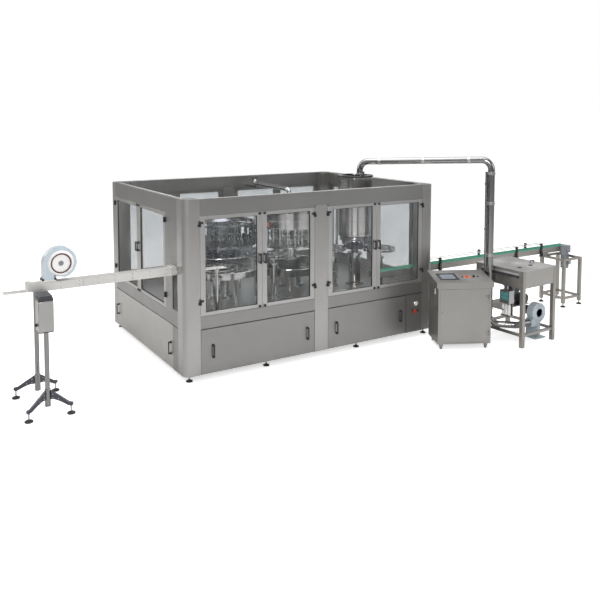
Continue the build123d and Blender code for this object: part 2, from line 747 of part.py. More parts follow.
def blower_housing():
    """Snail housing on the beam: scroll, outlet duct, inlet ring and base clamps."""
    y = INFEED_Y
    y0, y1 = y - BLOWER_WIDE / 2, y + BLOWER_WIDE / 2
    scroll = bar_y(BLOWER_X, y0, y1, BLOWER_Z, SCROLL_R)
    scroll += block(BLOWER_X - SCROLL_R - 35, BLOWER_X - 60, y0, y1, BEAM_TOP + 20, BLOWER_Z)
    scroll += bar_y(BLOWER_X - 17, y0, y1, BLOWER_Z, SCROLL_R + 18)
    scroll += block(BLOWER_X - SCROLL_R - 60, BLOWER_X - 40, y - 66, y + 66, BEAM_TOP, BEAM_TOP + 20)
    scroll -= bar_y(BLOWER_X, y0 - 1, y1 - 8, BLOWER_Z, IMPELLER_R + 8)
    scroll -= bar_y(BLOWER_X, y0, y1 + 1, BLOWER_Z, 15 + SHAFT_PLAY)
    inlet = bar_y(BLOWER_X, y0 - 14, y0, BLOWER_Z, 150) - bar_y(BLOWER_X, y0 - 15, y0 + 1, BLOWER_Z, 113)
    motor = bar_y(BLOWER_X, y1 + 2, y1 + 170, BLOWER_Z, 74) - bar_y(BLOWER_X, y1, y1 + 60, BLOWER_Z, 15 + SHAFT_PLAY)
    bracket = block(BLOWER_X - 60, BLOWER_X + 60, y1 + 30, y1 + 150, BLOWER_Z - 108, BLOWER_Z - 68)
    plate = block(BLOWER_X - 60, BLOWER_X + 60, y1, y1 + 8, BLOWER_Z - 108, BLOWER_Z - 68)
    shelf = block(BLOWER_X - 60, BLOWER_X + 60, y1 + 8, y1 + 30, BLOWER_Z - 108, BLOWER_Z - 98)
    return [scroll + inlet, motor + bracket + shelf + plate]


def blower_impeller():
    """Cream wheel disc with its hub and shaft, turning inside the inlet ring."""
    y = INFEED_Y
    y0 = y - BLOWER_WIDE / 2
    wheel = bar_y(BLOWER_X, y0 + 4, y0 + 10, BLOWER_Z, IMPELLER_R)
    blade = block(60, IMPELLER_R - 2, -2, 2, 0, 60)
    fins = around(0, 0, 16, blade)
    turn = Pos(BLOWER_X, y0 + 10, BLOWER_Z) * Rot(-90, 0, 0)
    for fin in placed(turn, fins):
        wheel += fin
    wheel += bar_y(BLOWER_X, y0 - 10, y0 + 40, BLOWER_Z, 30)
    wheel += bar_y(BLOWER_X, y0 + 10, y0 + BLOWER_WIDE + 50, BLOWER_Z, 15)
    return [wheel]


SADDLE_Z = 1365
COLUMN_SPREAD = 280
STAND_LEG_Z = 300


def splayed_arm(near, far):
    """A foot arm: a tapering bar from the column's lower end out to its pad."""
    length = math.hypot(far[0] - near[0], far[1] - near[1])
    angle = math.degrees(math.atan2(far[1] - near[1], far[0] - near[0]))
    corners = [(36, 130), (length + 24, 100), (length + 24, 134), (length - 20, 138), (36, 285)]
    outline = make_face(Polyline(*corners, close=True))
    arm = extrude(Plane.XZ * outline, 16, both=True)
    return Pos(near[0], near[1], 0) * Rot(0, 0, angle) * arm


def pad_foot(x, y, top):
    """A threaded rod on a round rubber pad."""
    body = upright(x, y, 0, 16, 48)
    body += Pos(x, y, 24) * Cone(30, 12, 16)
    body += upright(x, y, 30, top, 9)
    return body


def infeed_stand():
    """Stand of the infeed: saddle, drive box, twin columns, splayed arms and pads."""
    x, y = STAND_X, INFEED_Y
    front, rear = y - COLUMN_SPREAD, y + COLUMN_SPREAD
    shapes = [block(x - 72, x + 72, front - 35, rear + 35, SADDLE_Z, BEAM_Z)]
    shapes.append(block(x - 85, x + 85, front - 35, front + 145, 965, SADDLE_Z))
    for cy, top, side in ((front, 965, -1), (rear, SADDLE_Z, 1)):
        column = upright(x, cy, STAND_LEG_Z, top, 27)
        column += upright(x, cy, 95, STAND_LEG_Z, 34)
        shapes.append(column)
        for step in (-1, 1):
            pad_x, pad_y = x + step * 235, cy + side * 120
            shapes.append(splayed_arm((x, cy), (pad_x, pad_y)))
            shapes.append(pad_foot(pad_x, pad_y, 102))
    return shapes


# ---------------------------------------------------------------- operator cabinet

CABINET = Pos(CABINET_X, CABINET_Y, 0) * Rot(0, 0, CABINET_TURN)
CONSOLE_EDGE = 30
CABINET_DOOR_Z = (100, 905)
CABINET_HINGE_U = CABINET_W - 28
CABINET_HINGES = (200, 740)
BUTTON_U, BUTTON_V = 500, 250
SELECTOR_U = 600
CONTROL_R = 14


def console_plane():
    """The sloping top of the console, with its origin over the cabinet's front left corner."""
    rise = math.degrees(math.atan2(CONSOLE_BACK - CONSOLE_FRONT, CABINET_D + 2 * CONSOLE_EDGE))
    return Pos(0, -CONSOLE_EDGE, CONSOLE_FRONT) * Rot(rise, 0, 0)


def cabinet_body():
    """Cabinet shell, open at the front for its door, on four small feet."""
    shell = block(0, CABINET_W, 0, CABINET_D, CABINET_Z, CABINET_H)
    shell -= block(28, CABINET_W - 28, -1, CABINET_D - 3, CABINET_Z + 22, CABINET_H - 26)
    shapes = [shell]
    for u in (60, CABINET_W - 60):
        for v in (50, CABINET_D - 50):
            shapes.append(Pos(u, v, CABINET_Z / 2) * Cone(16, 34, CABINET_Z))
    back_plate = block(60, CABINET_W - 60, CABINET_D - 15, CABINET_D - 3, 140, 860)
    shapes.append(back_plate)
    for index in range(3):
        u = 100 + 200 * index
        shapes.append(block(u, u + 150, CABINET_D - 115, CABINET_D - 15, 300, 520))
    for z in CABINET_HINGES:
        shapes.append(Pos(CABINET_HINGE_U, -HINGE_OFF, z) * pin_set(-1))
    return placed(CABINET, shapes)


def cabinet_console():
    """Sloping console top with a sunk screen bezel and two bored control seats."""
    profile = [(-CONSOLE_EDGE, CABINET_H), (CABINET_D + CONSOLE_EDGE, CABINET_H),
               (CABINET_D + CONSOLE_EDGE, CONSOLE_BACK), (-CONSOLE_EDGE, CONSOLE_FRONT)]
    side = make_face(Plane.YZ * Polyline(*profile, close=True))
    top = Pos(-CONSOLE_EDGE, 0, 0) * extrude(side, CABINET_W + 2 * CONSOLE_EDGE)
    face = console_plane()
    top -= face * block(70, 340, 150, 400, -6, 10)
    for u in (BUTTON_U, SELECTOR_U):
        top -= face * upright(u, BUTTON_V, -40, 5, CONTROL_R + 0.05)
    screen = face * block(72, 338, 152, 398, -6, -1)
    return placed(CABINET, [top, screen])


def cabinet_door():
    """Door leaf set in the cabinet front, with its lock and turned rim."""
    z0, z1 = CABINET_DOOR_Z
    leaf = block(30, CABINET_W - 30, 0, 22, z0 + 4, z1 - 4)
    leaf -= block(33, CABINET_W - 33, 2, 23, z0 + 7, z1 - 7)
    lock = bar_y(75, -16, 0, 560, 11)
    hinges = [Pos(CABINET_HINGE_U, -HINGE_OFF, z) * knuckle_set(-1) for z in CABINET_HINGES]
    return placed(CABINET, [leaf, lock] + hinges)


def console_button():
    """Push button that sinks into the console."""
    body = upright(BUTTON_U, BUTTON_V, -30, 8, CONTROL_R)
    body += upright(BUTTON_U, BUTTON_V, 8, 16, 20)
    return placed(CABINET * console_plane(), [body])


def console_selector():
    """Two-way selector knob that turns in the console."""
    body = upright(SELECTOR_U, BUTTON_V, -30, 2, CONTROL_R)
    body += upright(SELECTOR_U, BUTTON_V, 2, 16, 20)
    body += block(SELECTOR_U - 6, SELECTOR_U + 6, BUTTON_V - 20, BUTTON_V + 20, 16, 28)
    return placed(CABINET * console_plane(), [body])


# ---------------------------------------------------------------- cap hopper table

TABLE = Pos(TABLE_X, TABLE_Y, 0) * Rot(0, 0, TABLE_TURN)
TABLE_PLATE = 6
SKIRT = 260
LID_U = (30, 756)
LID_V = (300, 870)
LID_HINGES = (150, 560)
LID_BARREL_R = 7
LID_PIN_R = 3
LID_AXIS_Z = TABLE_TOP + 10


def lid_barrel(u, v, side, bored):
    """One barrel of a lid hinge along the table's width, with its leaf on one side of the axis."""
    long = 32
    z = LID_AXIS_Z
    body = bar_x(u, u + long, v, z, LID_BARREL_R)
    near, far = sorted((v, v + side * 24))
    body += block(u, u + long, near, far, TABLE_TOP, TABLE_TOP + 5)
    if bored:
        return body - bar_x(u - 1, u + long + 1, v, z, LID_PIN_R + PIN_PLAY)
    return body + bar_x(u + long, u + 2 * long, v, z, LID_PIN_R)


def hopper_table():
    """Square-tube table with a skirted hopper under its top and low bars round its legs."""
    w, d, leg = TABLE_W, TABLE_D, TABLE_LEG
    top_z = TABLE_TOP - TABLE_PLATE
    shapes = []
    for u in (0, w - leg):
        for v in (0, d - leg):
            shapes.append(block(u, u + leg, v, v + leg, 0, top_z))
    for u in (0, w - leg):
        shapes.append(block(u + 12, u + leg - 12, leg, d - leg, 160, 200))
    for v in (0, d - leg):
        shapes.append(block(leg, w - leg, v + 12, v + leg - 12, 160, 200))
    z0 = top_z - SKIRT
    for v0, v1 in ((4, 8), (d - 8, d - 4)):
        shapes.append(block(leg, w - leg, v0, v1, z0, top_z))
    for u0, u1 in ((4, 8), (w - 8, w - 4)):
        shapes.append(block(u0, u1, leg, d - leg, z0, top_z))
    tray = block(0, w, 0, LID_V[0], top_z, TABLE_TOP)
    shapes.append(tray)
    shapes.append(block(0, w, LID_V[1], d, top_z, TABLE_TOP))
    for u0, u1 in ((0, LID_U[0]), (LID_U[1], w)):
        shapes.append(block(u0, u1, LID_V[0], LID_V[1], top_z, TABLE_TOP))
    shapes.append(block(leg + 4, w - leg - 4, leg + 4, d - leg - 4, z0 + 4, z0 + 8))
    cone = Pos(w / 2, d / 2 + 40, z0 - 100) * Cone(70, 230, 200)
    shapes.append(cone)
    control = block(70, 190, 310, 490, 590, 790) + block(100, 124, 370, 430, 790, z0 + 4)
    shapes.append(control)
    shapes.append(block(leg, w - leg, 430, d - 12, 480, 490))
    shapes.append(bar_y(w - 150, 440, 650, 568, 78))
    for u in LID_HINGES:
        shapes.append(lid_barrel(u, LID_V[1], 1, False))
    return placed(TABLE, shapes)


def hopper_lid():
    """Hinged lid of the hopper with its bow handle."""
    u0, u1 = LID_U[0] + 1.5, LID_U[1] - 1.5
    v0, v1 = LID_V[0] + 1.5, LID_V[1] - 1.5
    lid = block(u0, u1, v0, v1, TABLE_TOP - TABLE_PLATE, TABLE_TOP)
    grip = block(600, 700, 340, 352, TABLE_TOP + 30, TABLE_TOP + 42)
    for u in (600, 688):
        grip += block(u, u + 12, 340, 352, TABLE_TOP, TABLE_TOP + 36)
    barrels = [lid_barrel(u + 32.5, LID_V[1], -1, True) for u in LID_HINGES]
    return placed(TABLE, [lid, grip] + barrels)


BLOW_X, BLOW_Y = 5428, -1000
LIFT_Z = 255
DRUM_UP = 145


def lift_blower():
    """Fan that lifts the caps: drum housing under the table, motor, and its base plate."""
    drum = bar_y(BLOW_X + 22, BLOW_Y - 60, BLOW_Y + 60, LIFT_Z + DRUM_UP, 150)
    drum += bar_y(BLOW_X + 22, BLOW_Y - 70, BLOW_Y - 60, LIFT_Z + DRUM_UP, 120)
    outlet = block(BLOW_X - 140, BLOW_X + 22, BLOW_Y - 58, BLOW_Y + 58, LIFT_Z - 58, LIFT_Z + 58)
    motor = bar_y(BLOW_X + 22, BLOW_Y + 60, BLOW_Y + 230, LIFT_Z + DRUM_UP, 70)
    base = block(BLOW_X - 90, BLOW_X + 150, BLOW_Y - 90, BLOW_Y + 200, 0, 14)
    stem = block(BLOW_X + 10, BLOW_X + 70, BLOW_Y - 50, BLOW_Y + 190, 14, LIFT_Z + 20)
    return [drum + outlet + motor + stem, base]


def cap_pipe():
    """Cap lifting pipe: base elbow, riser, long top run and the drop into the sorter."""
    low = LIFT_Z
    high, far = 2790, 2715
    tower_x, tower_y = CAPPER_X + 90, CAPPER_Y - 10
    points = [(BLOW_X - 140, BLOW_Y, low), (RISER_X + 300, BLOW_Y, low), (RISER_X, RISER_Y, low),
              (RISER_X, RISER_Y, high), (tower_x, tower_y, far), (tower_x, tower_y, TOWER_TOP)]
    bends = [120, PIPE_BEND, PIPE_BEND, PIPE_BEND]
    run = pipe(points, bends, PIPE_R)
    shapes = [run]
    support_x, support_y = RISER_X - 10, RISER_Y + 80
    shapes.append(upright(support_x, support_y, 10, 2600, 24))
    shapes.append(upright(support_x, support_y, 0, 10, 70))
    return shapes


# ---------------------------------------------------------------- outfeed conveyor

BRACKETS = ((4580, -1), (5650, 1), (6400, -1), (6830, 1), (7050, -1))
DRIVE_X = 7650


def conveyor_bed():
    """Side plates, cross spacers and the underside tray of the outfeed conveyor."""
    y = OUTFEED_Y
    shapes = []
    for side in (-1, 1):
        y0, y1 = sorted((y + side * (CONVEYOR_HALF - 4), y + side * CONVEYOR_HALF))
        shapes.append(block(CONVEYOR_LEFT, CONVEYOR_RIGHT, y0, y1, SIDE_PLATE_Z, CONVEYOR_TOP - 8))
    inner = CONVEYOR_HALF - 4
    for x in range(CONVEYOR_LEFT + 60, DRIVE_X - 100, 600):
        shapes.append(block(x, x + 30, y - inner, y + inner, SIDE_PLATE_Z + 30, SIDE_PLATE_Z + 50))
    plate = block(CONVEYOR_LEFT + 20, DRIVE_X - 60, y - inner, y + inner, SIDE_PLATE_Z + 52, SIDE_PLATE_Z + 60)
    shapes.append(plate)
    end = block(CONVEYOR_RIGHT - 8, CONVEYOR_RIGHT, y - inner, y + inner, SIDE_PLATE_Z, CONVEYOR_TOP - 12)
    for dz in (-30, 30):
        for dy in (-50, 50):
            end -= bar_x(CONVEYOR_RIGHT - 9, CONVEYOR_RIGHT + 1, y + dy, 992 + dz, 5.5)
    shapes.append(end)
    for side in (-1, 1):
        hole = bar_y(DRIVE_X, y - 100, y + 100, 995, 15 + SHAFT_PLAY)
        shapes[0 if side < 0 else 1] -= hole
    for y_leg in (y - 60, y + 60):
        shapes.append(upright(4100, y_leg, 720, SIDE_PLATE_Z - 6, 16))
    shapes[-2] = block(4060, 4110, y - 90, y + 90, SIDE_PLATE_Z - 20, SIDE_PLATE_Z)
    shapes[-1] = upright(4085, y, BED_Z + BED_PLATE, SIDE_PLATE_Z - 20, 24)
    return shapes


def conveyor_chain():
    """Flat-top slats, joined as one carrying strip."""
    y = OUTFEED_Y
    half = CONVEYOR_HALF - 10
    strip = block(CONVEYOR_LEFT + 10, CONVEYOR_RIGHT - 20, y - half, y + half, CONVEYOR_TOP - 12, CONVEYOR_TOP)
    return [strip]


def conveyor_rails():
    """Black rail brackets on the side plates and the slim guide rails they hold."""
    y = OUTFEED_Y
    shapes = []
    for x, side in BRACKETS:
        y0, y1 = sorted((y + side * CONVEYOR_HALF, y + side * (CONVEYOR_HALF + 26)))
        arm = block(x - 22, x + 22, y0, y1, CONVEYOR_TOP - 90, CONVEYOR_TOP + 90)
        shapes.append(arm)
        y0, y1 = sorted((y + side * (CONVEYOR_HALF - 26), y + side * CONVEYOR_HALF))
        shapes.append(block(x - 14, x + 14, y0, y1, CONVEYOR_TOP + 56, CONVEYOR_TOP + 80))
    for side, x0, x1 in ((-1, 4340, 7200), (1, 4340, 7200)):
        rail_y = y + side * (CONVEYOR_HALF - 32)
        shapes.append(bar_x(x0, x1, rail_y, CONVEYOR_TOP + 68, 6))
    return shapes


def conveyor_stand():
    """End frame of the outfeed: four legs, low bars, top bars and pad feet."""
    leg = 55
    shapes = []
    xs = (FRAME_LEFT, FRAME_RIGHT - leg)
    ys = (FRAME_FRONT, FRAME_BACK - leg)
    for x in xs:
        for y in ys:
            shapes.append(block(x, x + leg, y, y + leg, 70, 880))
            shapes.append(pad_foot(x + leg / 2, y + leg / 2, 70))
        for z in (140, 840):
            shapes.append(block(x + 8, x + leg - 8, ys[0] + leg, ys[1], z, z + 40))
    for y in ys:
        for z in (140, 840):
            shapes.append(block(xs[0] + leg, xs[1], y + 8, y + leg - 8, z, z + 40))
    for x in xs:
        shapes.append(block(x + 8, x + leg - 8, 290, 330, 880, SIDE_PLATE_Z))
        shapes.append(block(x + 8, x + leg - 8, 330, 370, 880, SIDE_PLATE_Z))
    return shapes


def conveyor_drive():
    """Gear motor at the discharge end: gearbox, motor barrel and terminal box."""
    y = OUTFEED_Y - CONVEYOR_HALF
    box = block(DRIVE_X - 70, DRIVE_X + 70, y - 130, y - 2, 925, 1065)
    box -= bar_y(DRIVE_X, y - 60, y, 995, 15 + SHAFT_PLAY)
    motor = upright(DRIVE_X - 20, y - 70, 640, 925, 74)
    terminal = block(DRIVE_X + 54, DRIVE_X + 120, y - 110, y - 20, 700, 800)
    ear = block(DRIVE_X - 60, DRIVE_X - 20, y - 2, y, 930, 1036)
    return [box + motor + terminal, ear]


def drive_shaft():
    """Discharge-end shaft with its sprocket drum."""
    y = OUTFEED_Y
    shaft = bar_y(DRIVE_X, y - CONVEYOR_HALF - 50, y + CONVEYOR_HALF + 12, 995, 15)
    shaft += bar_y(DRIVE_X, y - 60, y + 60, 995, 40)
    return [shaft]


def main():
    os.makedirs("parts", exist_ok=True)
    for maker in (base_frame, bed_plate, corner_posts, cross_rails, fixed_lower_panels,
                  fixed_guard_frames, fixed_guard_panes, hinge_pins, levelling_feet,
                  pressure_gauge, stop_button, side_panel, star_pedestals,
                  rinser_base, rinser_carousel, rinser_grippers,
                  filler_base, filler_bowl, filler_valves,
                  capper_column, capper_heads, cap_sorter, product_piping, cap_pipe,
                  infeed_beam, blower_housing, blower_impeller, infeed_stand,
                  cabinet_body, cabinet_console, cabinet_door, console_button, console_selector,
                  hopper_table, hopper_lid, lift_blower,
                  conveyor_bed, conveyor_chain, conveyor_rails, conveyor_stand,
                  conveyor_drive, drive_shaft):
        write(maker.__name__, maker())
    write("front_panel_left", front_panel(POST, MID_POST_LEFT, (400, 1857)))
    write("front_panel_right", front_panel(MID_POST_RIGHT, SERVICE_LEFT, (2356, 3550)))
    for name in STAR_STATIONS:
        write(name, star(name))
    for name, (place, width, sign) in door_places().items():
        write(name, placed(place, door_local(width, sign)))
        write(name + "_pane", placed(place, pane_local(width, sign)))


main()
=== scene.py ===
import json
import math

import bpy
import numpy as np
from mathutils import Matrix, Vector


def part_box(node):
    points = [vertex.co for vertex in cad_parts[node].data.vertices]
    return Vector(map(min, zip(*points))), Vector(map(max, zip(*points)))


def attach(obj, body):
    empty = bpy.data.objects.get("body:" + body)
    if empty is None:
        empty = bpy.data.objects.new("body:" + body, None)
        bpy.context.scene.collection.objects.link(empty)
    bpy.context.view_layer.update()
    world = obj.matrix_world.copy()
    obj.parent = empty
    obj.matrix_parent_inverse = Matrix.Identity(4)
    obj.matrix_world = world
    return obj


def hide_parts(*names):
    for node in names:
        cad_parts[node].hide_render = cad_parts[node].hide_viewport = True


# A rinsing, filling and capping line in its guard housing, with infeed, console, cap supply
# and outfeed. Lengths are metres in the frame's own axes.

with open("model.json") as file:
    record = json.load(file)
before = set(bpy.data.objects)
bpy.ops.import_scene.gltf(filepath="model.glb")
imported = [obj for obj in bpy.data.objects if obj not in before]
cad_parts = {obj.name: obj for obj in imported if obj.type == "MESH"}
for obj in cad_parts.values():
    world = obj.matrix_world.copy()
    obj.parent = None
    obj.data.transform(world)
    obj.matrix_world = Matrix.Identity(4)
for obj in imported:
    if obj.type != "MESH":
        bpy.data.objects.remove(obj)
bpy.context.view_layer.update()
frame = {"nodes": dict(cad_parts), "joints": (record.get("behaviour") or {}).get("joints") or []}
nodes = frame["nodes"]

# The line's plan origin (front left corner of the housing, on the floor) in the frame
ORIGIN = np.array([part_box("corner_posts")[0].x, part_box("corner_posts")[0].y, 0.0])
TURN = 2 * math.pi
SHARP_ANGLE = math.radians(35)


# ---------------------------------------------------------------- mesh making

def merged(parts):
    """One vertex array and one face list from several (vertices, faces) pairs."""
    counts = np.cumsum([0] + [len(part[0]) for part in parts[:-1]])
    faces = [tuple(int(index) + int(count) for index in face)
             for part, count in zip(parts, counts) for face in part[1]]
    return np.concatenate([part[0] for part in parts]), faces


def slab(x0, x1, y0, y1, z0, z1):
    """A box: the eight corners of the unit cube stretched between two opposite corners."""
    unit = np.array([(i, j, k) for k in (0, 1) for j in (0, 1) for i in (0, 1)], float)
    low = np.array([x0, y0, z0], float)
    high = np.array([x1, y1, z1], float)
    faces = [(0, 2, 3, 1), (4, 5, 7, 6), (0, 1, 5, 4), (2, 6, 7, 3), (0, 4, 6, 2), (1, 3, 7, 5)]
    return low + unit * (high - low), faces


def slabs(*rows):
    """Several boxes, each from its own six limits."""
    return [slab(*row) for row in rows]


def basis(direction):
    """Two unit vectors square to a direction, and the direction itself, as matrix columns."""
    w = np.array(direction, float)
    w /= np.linalg.norm(w)
    helper = np.array([1.0, 0, 0]) if abs(w[0]) < 0.9 else np.array([0, 1.0, 0])
    u = np.cross(helper, w)
    u /= np.linalg.norm(u)
    return np.stack([u, np.cross(w, u), w], axis=1)


def turned(profile, place, direction=(0, 0, 1), steps=48):
    """A turned shape: each (radius, height) swept through a full circle about the direction.

    Radius times (cos t, sin t) gives the ring and height moves it along the axis. Each end is
    closed by a fan of faces round its middle point.
    """
    radius = np.array([point[0] for point in profile], float)
    height = np.array([point[1] for point in profile], float)
    angle = np.arange(steps) * TURN / steps
    ring = np.stack([np.cos(angle), np.sin(angle), np.zeros(steps)], axis=1)
    grid = radius[:, None, None] * ring[None] + height[:, None, None] * np.array([0, 0, 1.0])
    points = grid.reshape(-1, 3) @ basis(direction).T + np.array(place, float)
    rows = len(profile)
    faces = []
    for row in range(rows - 1):
        a = row * steps + np.arange(steps)
        b = row * steps + (np.arange(steps) + 1) % steps
        faces.extend(zip(a, b, b + steps, a + steps))
    caps = height[[0, -1]][:, None] * basis(direction)[:, 2][None] + np.array(place, float)
    points = np.concatenate([points, caps])
    low, high = rows * steps, rows * steps + 1
    turn = np.arange(steps)
    step_on = (turn + 1) % steps
    last = (rows - 1) * steps
    faces.extend(zip(step_on, turn, np.full(steps, low)))
    faces.extend(zip(last + turn, last + step_on, np.full(steps, high)))
    return points, faces


def rod(start, end, radius, steps=24, edge=0.0015):
    """A round bar between two points with a small chamfer at each end."""
    start, end = np.array(start, float), np.array(end, float)
    length = float(np.linalg.norm(end - start))
    edge = min(edge, radius * 0.4, length * 0.2)
    profile = [(radius - edge, 0), (radius, edge), (radius, length - edge),
        (radius - edge, length)]
    return turned(profile, start, end - start, steps)


def hoop(radius, thick, place, direction=(0, 0, 1), steps=48, sides=12):
    """A torus: a circle of radius thick carried round a circle of the given radius."""
    t = (np.arange(steps) * TURN / steps)[:, None]
    s = (np.arange(sides) * TURN / sides)[None, :]
    out = radius + thick * np.cos(s)
    grid = np.stack([out * np.cos(t), out * np.sin(t), thick * np.sin(s) + 0 * t], axis=2)
    points = grid.reshape(-1, 3) @ basis(direction).T + np.array(place, float)
    row, col = np.meshgrid(np.arange(steps), np.arange(sides), indexing="ij")
    row_on, col_on = (row + 1) % steps, (col + 1) % sides
    quad = [row * sides + col, row_on * sides + col, row_on * sides + col_on, row * sides + col_on]
    return points, list(zip(*[q.ravel() for q in quad]))


def fins(count, radius, place, direction, near, far, thick):
    """Thin round ribs standing evenly round a motor, from near to far along its direction."""
    frame_of = basis(direction)
    parts = []
    for angle in np.arange(count) * TURN / count:
        off = radius * (frame_of[:, 1] * math.cos(angle) + frame_of[:, 0] * math.sin(angle))
        start = np.array(place, float) + off
        parts.append(rod(start + frame_of[:, 2] * near, start + frame_of[:, 2] * far,
                         thick, 6, 0.0004))
    return parts


def prism(outline, y0, y1):
    """A flat outline of (x, z) points, in order, carried from y0 to y1."""
    outline = np.array(outline, float)
    count = len(outline)
    near = np.stack([outline[:, 0], np.full(count, y0), outline[:, 1]], axis=1)
    far = near + np.array([0, y1 - y0, 0])
    first = np.arange(count)
    after = (first + 1) % count
    x, z = outline.T
    area = np.sum(x * np.roll(z, -1) - np.roll(x, -1) * z)
    sides = list(zip(first, first + count, after + count, after))
    faces = sides + [tuple(first), tuple((first + count)[::-1])]
    if area < 0:
        faces = [tuple(face[::-1]) for face in faces]
    return np.concatenate([near, far]), faces


def moved(part, angle=0.0, place=(0, 0, 0)):
    """A part turned about Z by an angle and then carried to a place."""
    c, s = math.cos(angle), math.sin(angle)
    spin = np.array([[c, -s, 0], [s, c, 0], [0, 0, 1]])
    return part[0] @ spin.T + np.array(place, float), part[1]


def piece(name, parts, material, bevel=0.0, body="frame", stands_for=()):
    """A finished object from its parts, riding on a body and standing for CAD nodes."""
    vertices, faces = merged(parts)
    mesh = bpy.data.meshes.new(name)
    mesh.from_pydata((vertices + ORIGIN).tolist(), [], faces)
    mesh.validate()
    mesh.shade_smooth()
    mesh.set_sharp_from_angle(angle=SHARP_ANGLE)
    made = bpy.data.objects.new(name, mesh)
    bpy.context.scene.collection.objects.link(made)
    mesh.materials.append(material)
    if bevel:
        rounding = made.modifiers.new("rounding", "BEVEL")
        rounding.width = bevel
        rounding.segments = 2
        rounding.limit_method = "ANGLE"
    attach(made, body)
    if stands_for:
        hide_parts(*stands_for)
    return made


# ---------------------------------------------------------------- shared effects

def new_group(name, inputs, outputs):
    """An empty node group with named inputs (kind, value) and outputs."""
    group = bpy.data.node_groups.new(name, "ShaderNodeTree")
    for label, (kind, value) in inputs.items():
        socket = group.interface.new_socket(label, in_out="INPUT", socket_type=kind)
        if value is not None:
            socket.default_value = value
    for label, kind in outputs.items():
        group.interface.new_socket(label, in_out="OUTPUT", socket_type=kind)
    start = group.nodes.new("NodeGroupInput")
    end = group.nodes.new("NodeGroupOutput")
    return group, start, end


def noise(tree, vector, scale, detail=3.0, rough=0.5):
    """A noise texture on the given vector; its value is returned."""
    node = tree.nodes.new("ShaderNodeTexNoise")
    node.inputs["Scale"].default_value = scale
    node.inputs["Detail"].default_value = detail
    node.inputs["Roughness"].default_value = rough
    tree.links.new(vector, node.inputs["Vector"])
    return node.outputs["Fac"]


def span(tree, value, low, high, to_low, to_high):
    """The value's stretch from low to high carried to to_low..to_high, held at its ends."""
    node = tree.nodes.new("ShaderNodeMapRange")
    for label, number in (("From Min", low), ("From Max", high), ("To Min", to_low),
        ("To Max", to_high)):
        node.inputs[label].default_value = number
    tree.links.new(value, node.inputs["Value"])
    return node.outputs["Result"]


def maths(tree, action, a, b):
    """One arithmetic step on two sockets or numbers."""
    node = tree.nodes.new("ShaderNodeMath")
    node.operation = action
    for index, value in enumerate((a, b)):
        if isinstance(value, (int, float)):
            node.inputs[index].default_value = value
        else:
            tree.links.new(value, node.inputs[index])
    return node.outputs[0]


def tinted(tree, colour, factor):
    """A colour multiplied by a grey factor."""
    node = tree.nodes.new("ShaderNodeVectorMath")
    node.operation = "SCALE"
    tree.links.new(colour, node.inputs[0])
    tree.links.new(factor, node.inputs["Scale"])
    return node.outputs["Vector"]


def bumped(tree, height, strength, distance):
    """The normal that a height gives."""
    node = tree.nodes.new("ShaderNodeBump")
    node.inputs["Distance"].default_value = distance
    tree.links.new(height, node.inputs["Height"])
    if isinstance(strength, (int, float)):
        node.inputs["Strength"].default_value = strength
    else:
        tree.links.new(strength, node.inputs["Strength"])
    return node.outputs["Normal"]


# What every shared effect hands to a material
SKIN = {"Colour": "NodeSocketColor", "Roughness": "NodeSocketFloat", "Normal": "NodeSocketVector"}


def brushing_group():
    """Brushed sheet: drawn-out grain lines, soft patches of tone and a few wipe marks."""
    group, start, end = new_group("brushing", {
        "Vector": ("NodeSocketVector", None),
        "Stretch": ("NodeSocketVector", (4, 4, 300)),
        "Colour": ("NodeSocketColor", (0.5, 0.5, 0.5, 1)),
        "Grain": ("NodeSocketFloat", 0.12),
        "Patches": ("NodeSocketFloat", 0.12),
        "Roughness": ("NodeSocketFloat", 0.32)}, SKIN)
    scaled = group.nodes.new("ShaderNodeVectorMath")
    scaled.operation = "MULTIPLY"
    group.links.new(start.outputs["Vector"], scaled.inputs[0])
    group.links.new(start.outputs["Stretch"], scaled.inputs[1])
    grain = noise(group, scaled.outputs["Vector"], 1.0, 4.0, 0.6)
    patch = noise(group, start.outputs["Vector"], 1.3, 3.0, 0.55)
    wipe = noise(group, start.outputs["Vector"], 5.5, 5.0, 0.7)
    fine = maths(group, "MULTIPLY", maths(group, "SUBTRACT", grain, 0.5), start.outputs["Grain"])
    broad = maths(group, "MULTIPLY", maths(group, "SUBTRACT", patch, 0.5),
        start.outputs["Patches"])
    tone = maths(group, "ADD", maths(group, "ADD", fine, broad), 1.0)
    group.links.new(tinted(group, start.outputs["Colour"], tone), end.inputs["Colour"])
    marks = span(group, wipe, 0.45, 0.75, 0.0, 0.10)
    gloss = maths(group, "ADD", start.outputs["Roughness"], maths(group, "MULTIPLY", fine, 0.9))
    group.links.new(maths(group, "ADD", gloss, marks), end.inputs["Roughness"])
    group.links.new(bumped(group, grain, 0.12, 0.0004), end.inputs["Normal"])
    return group


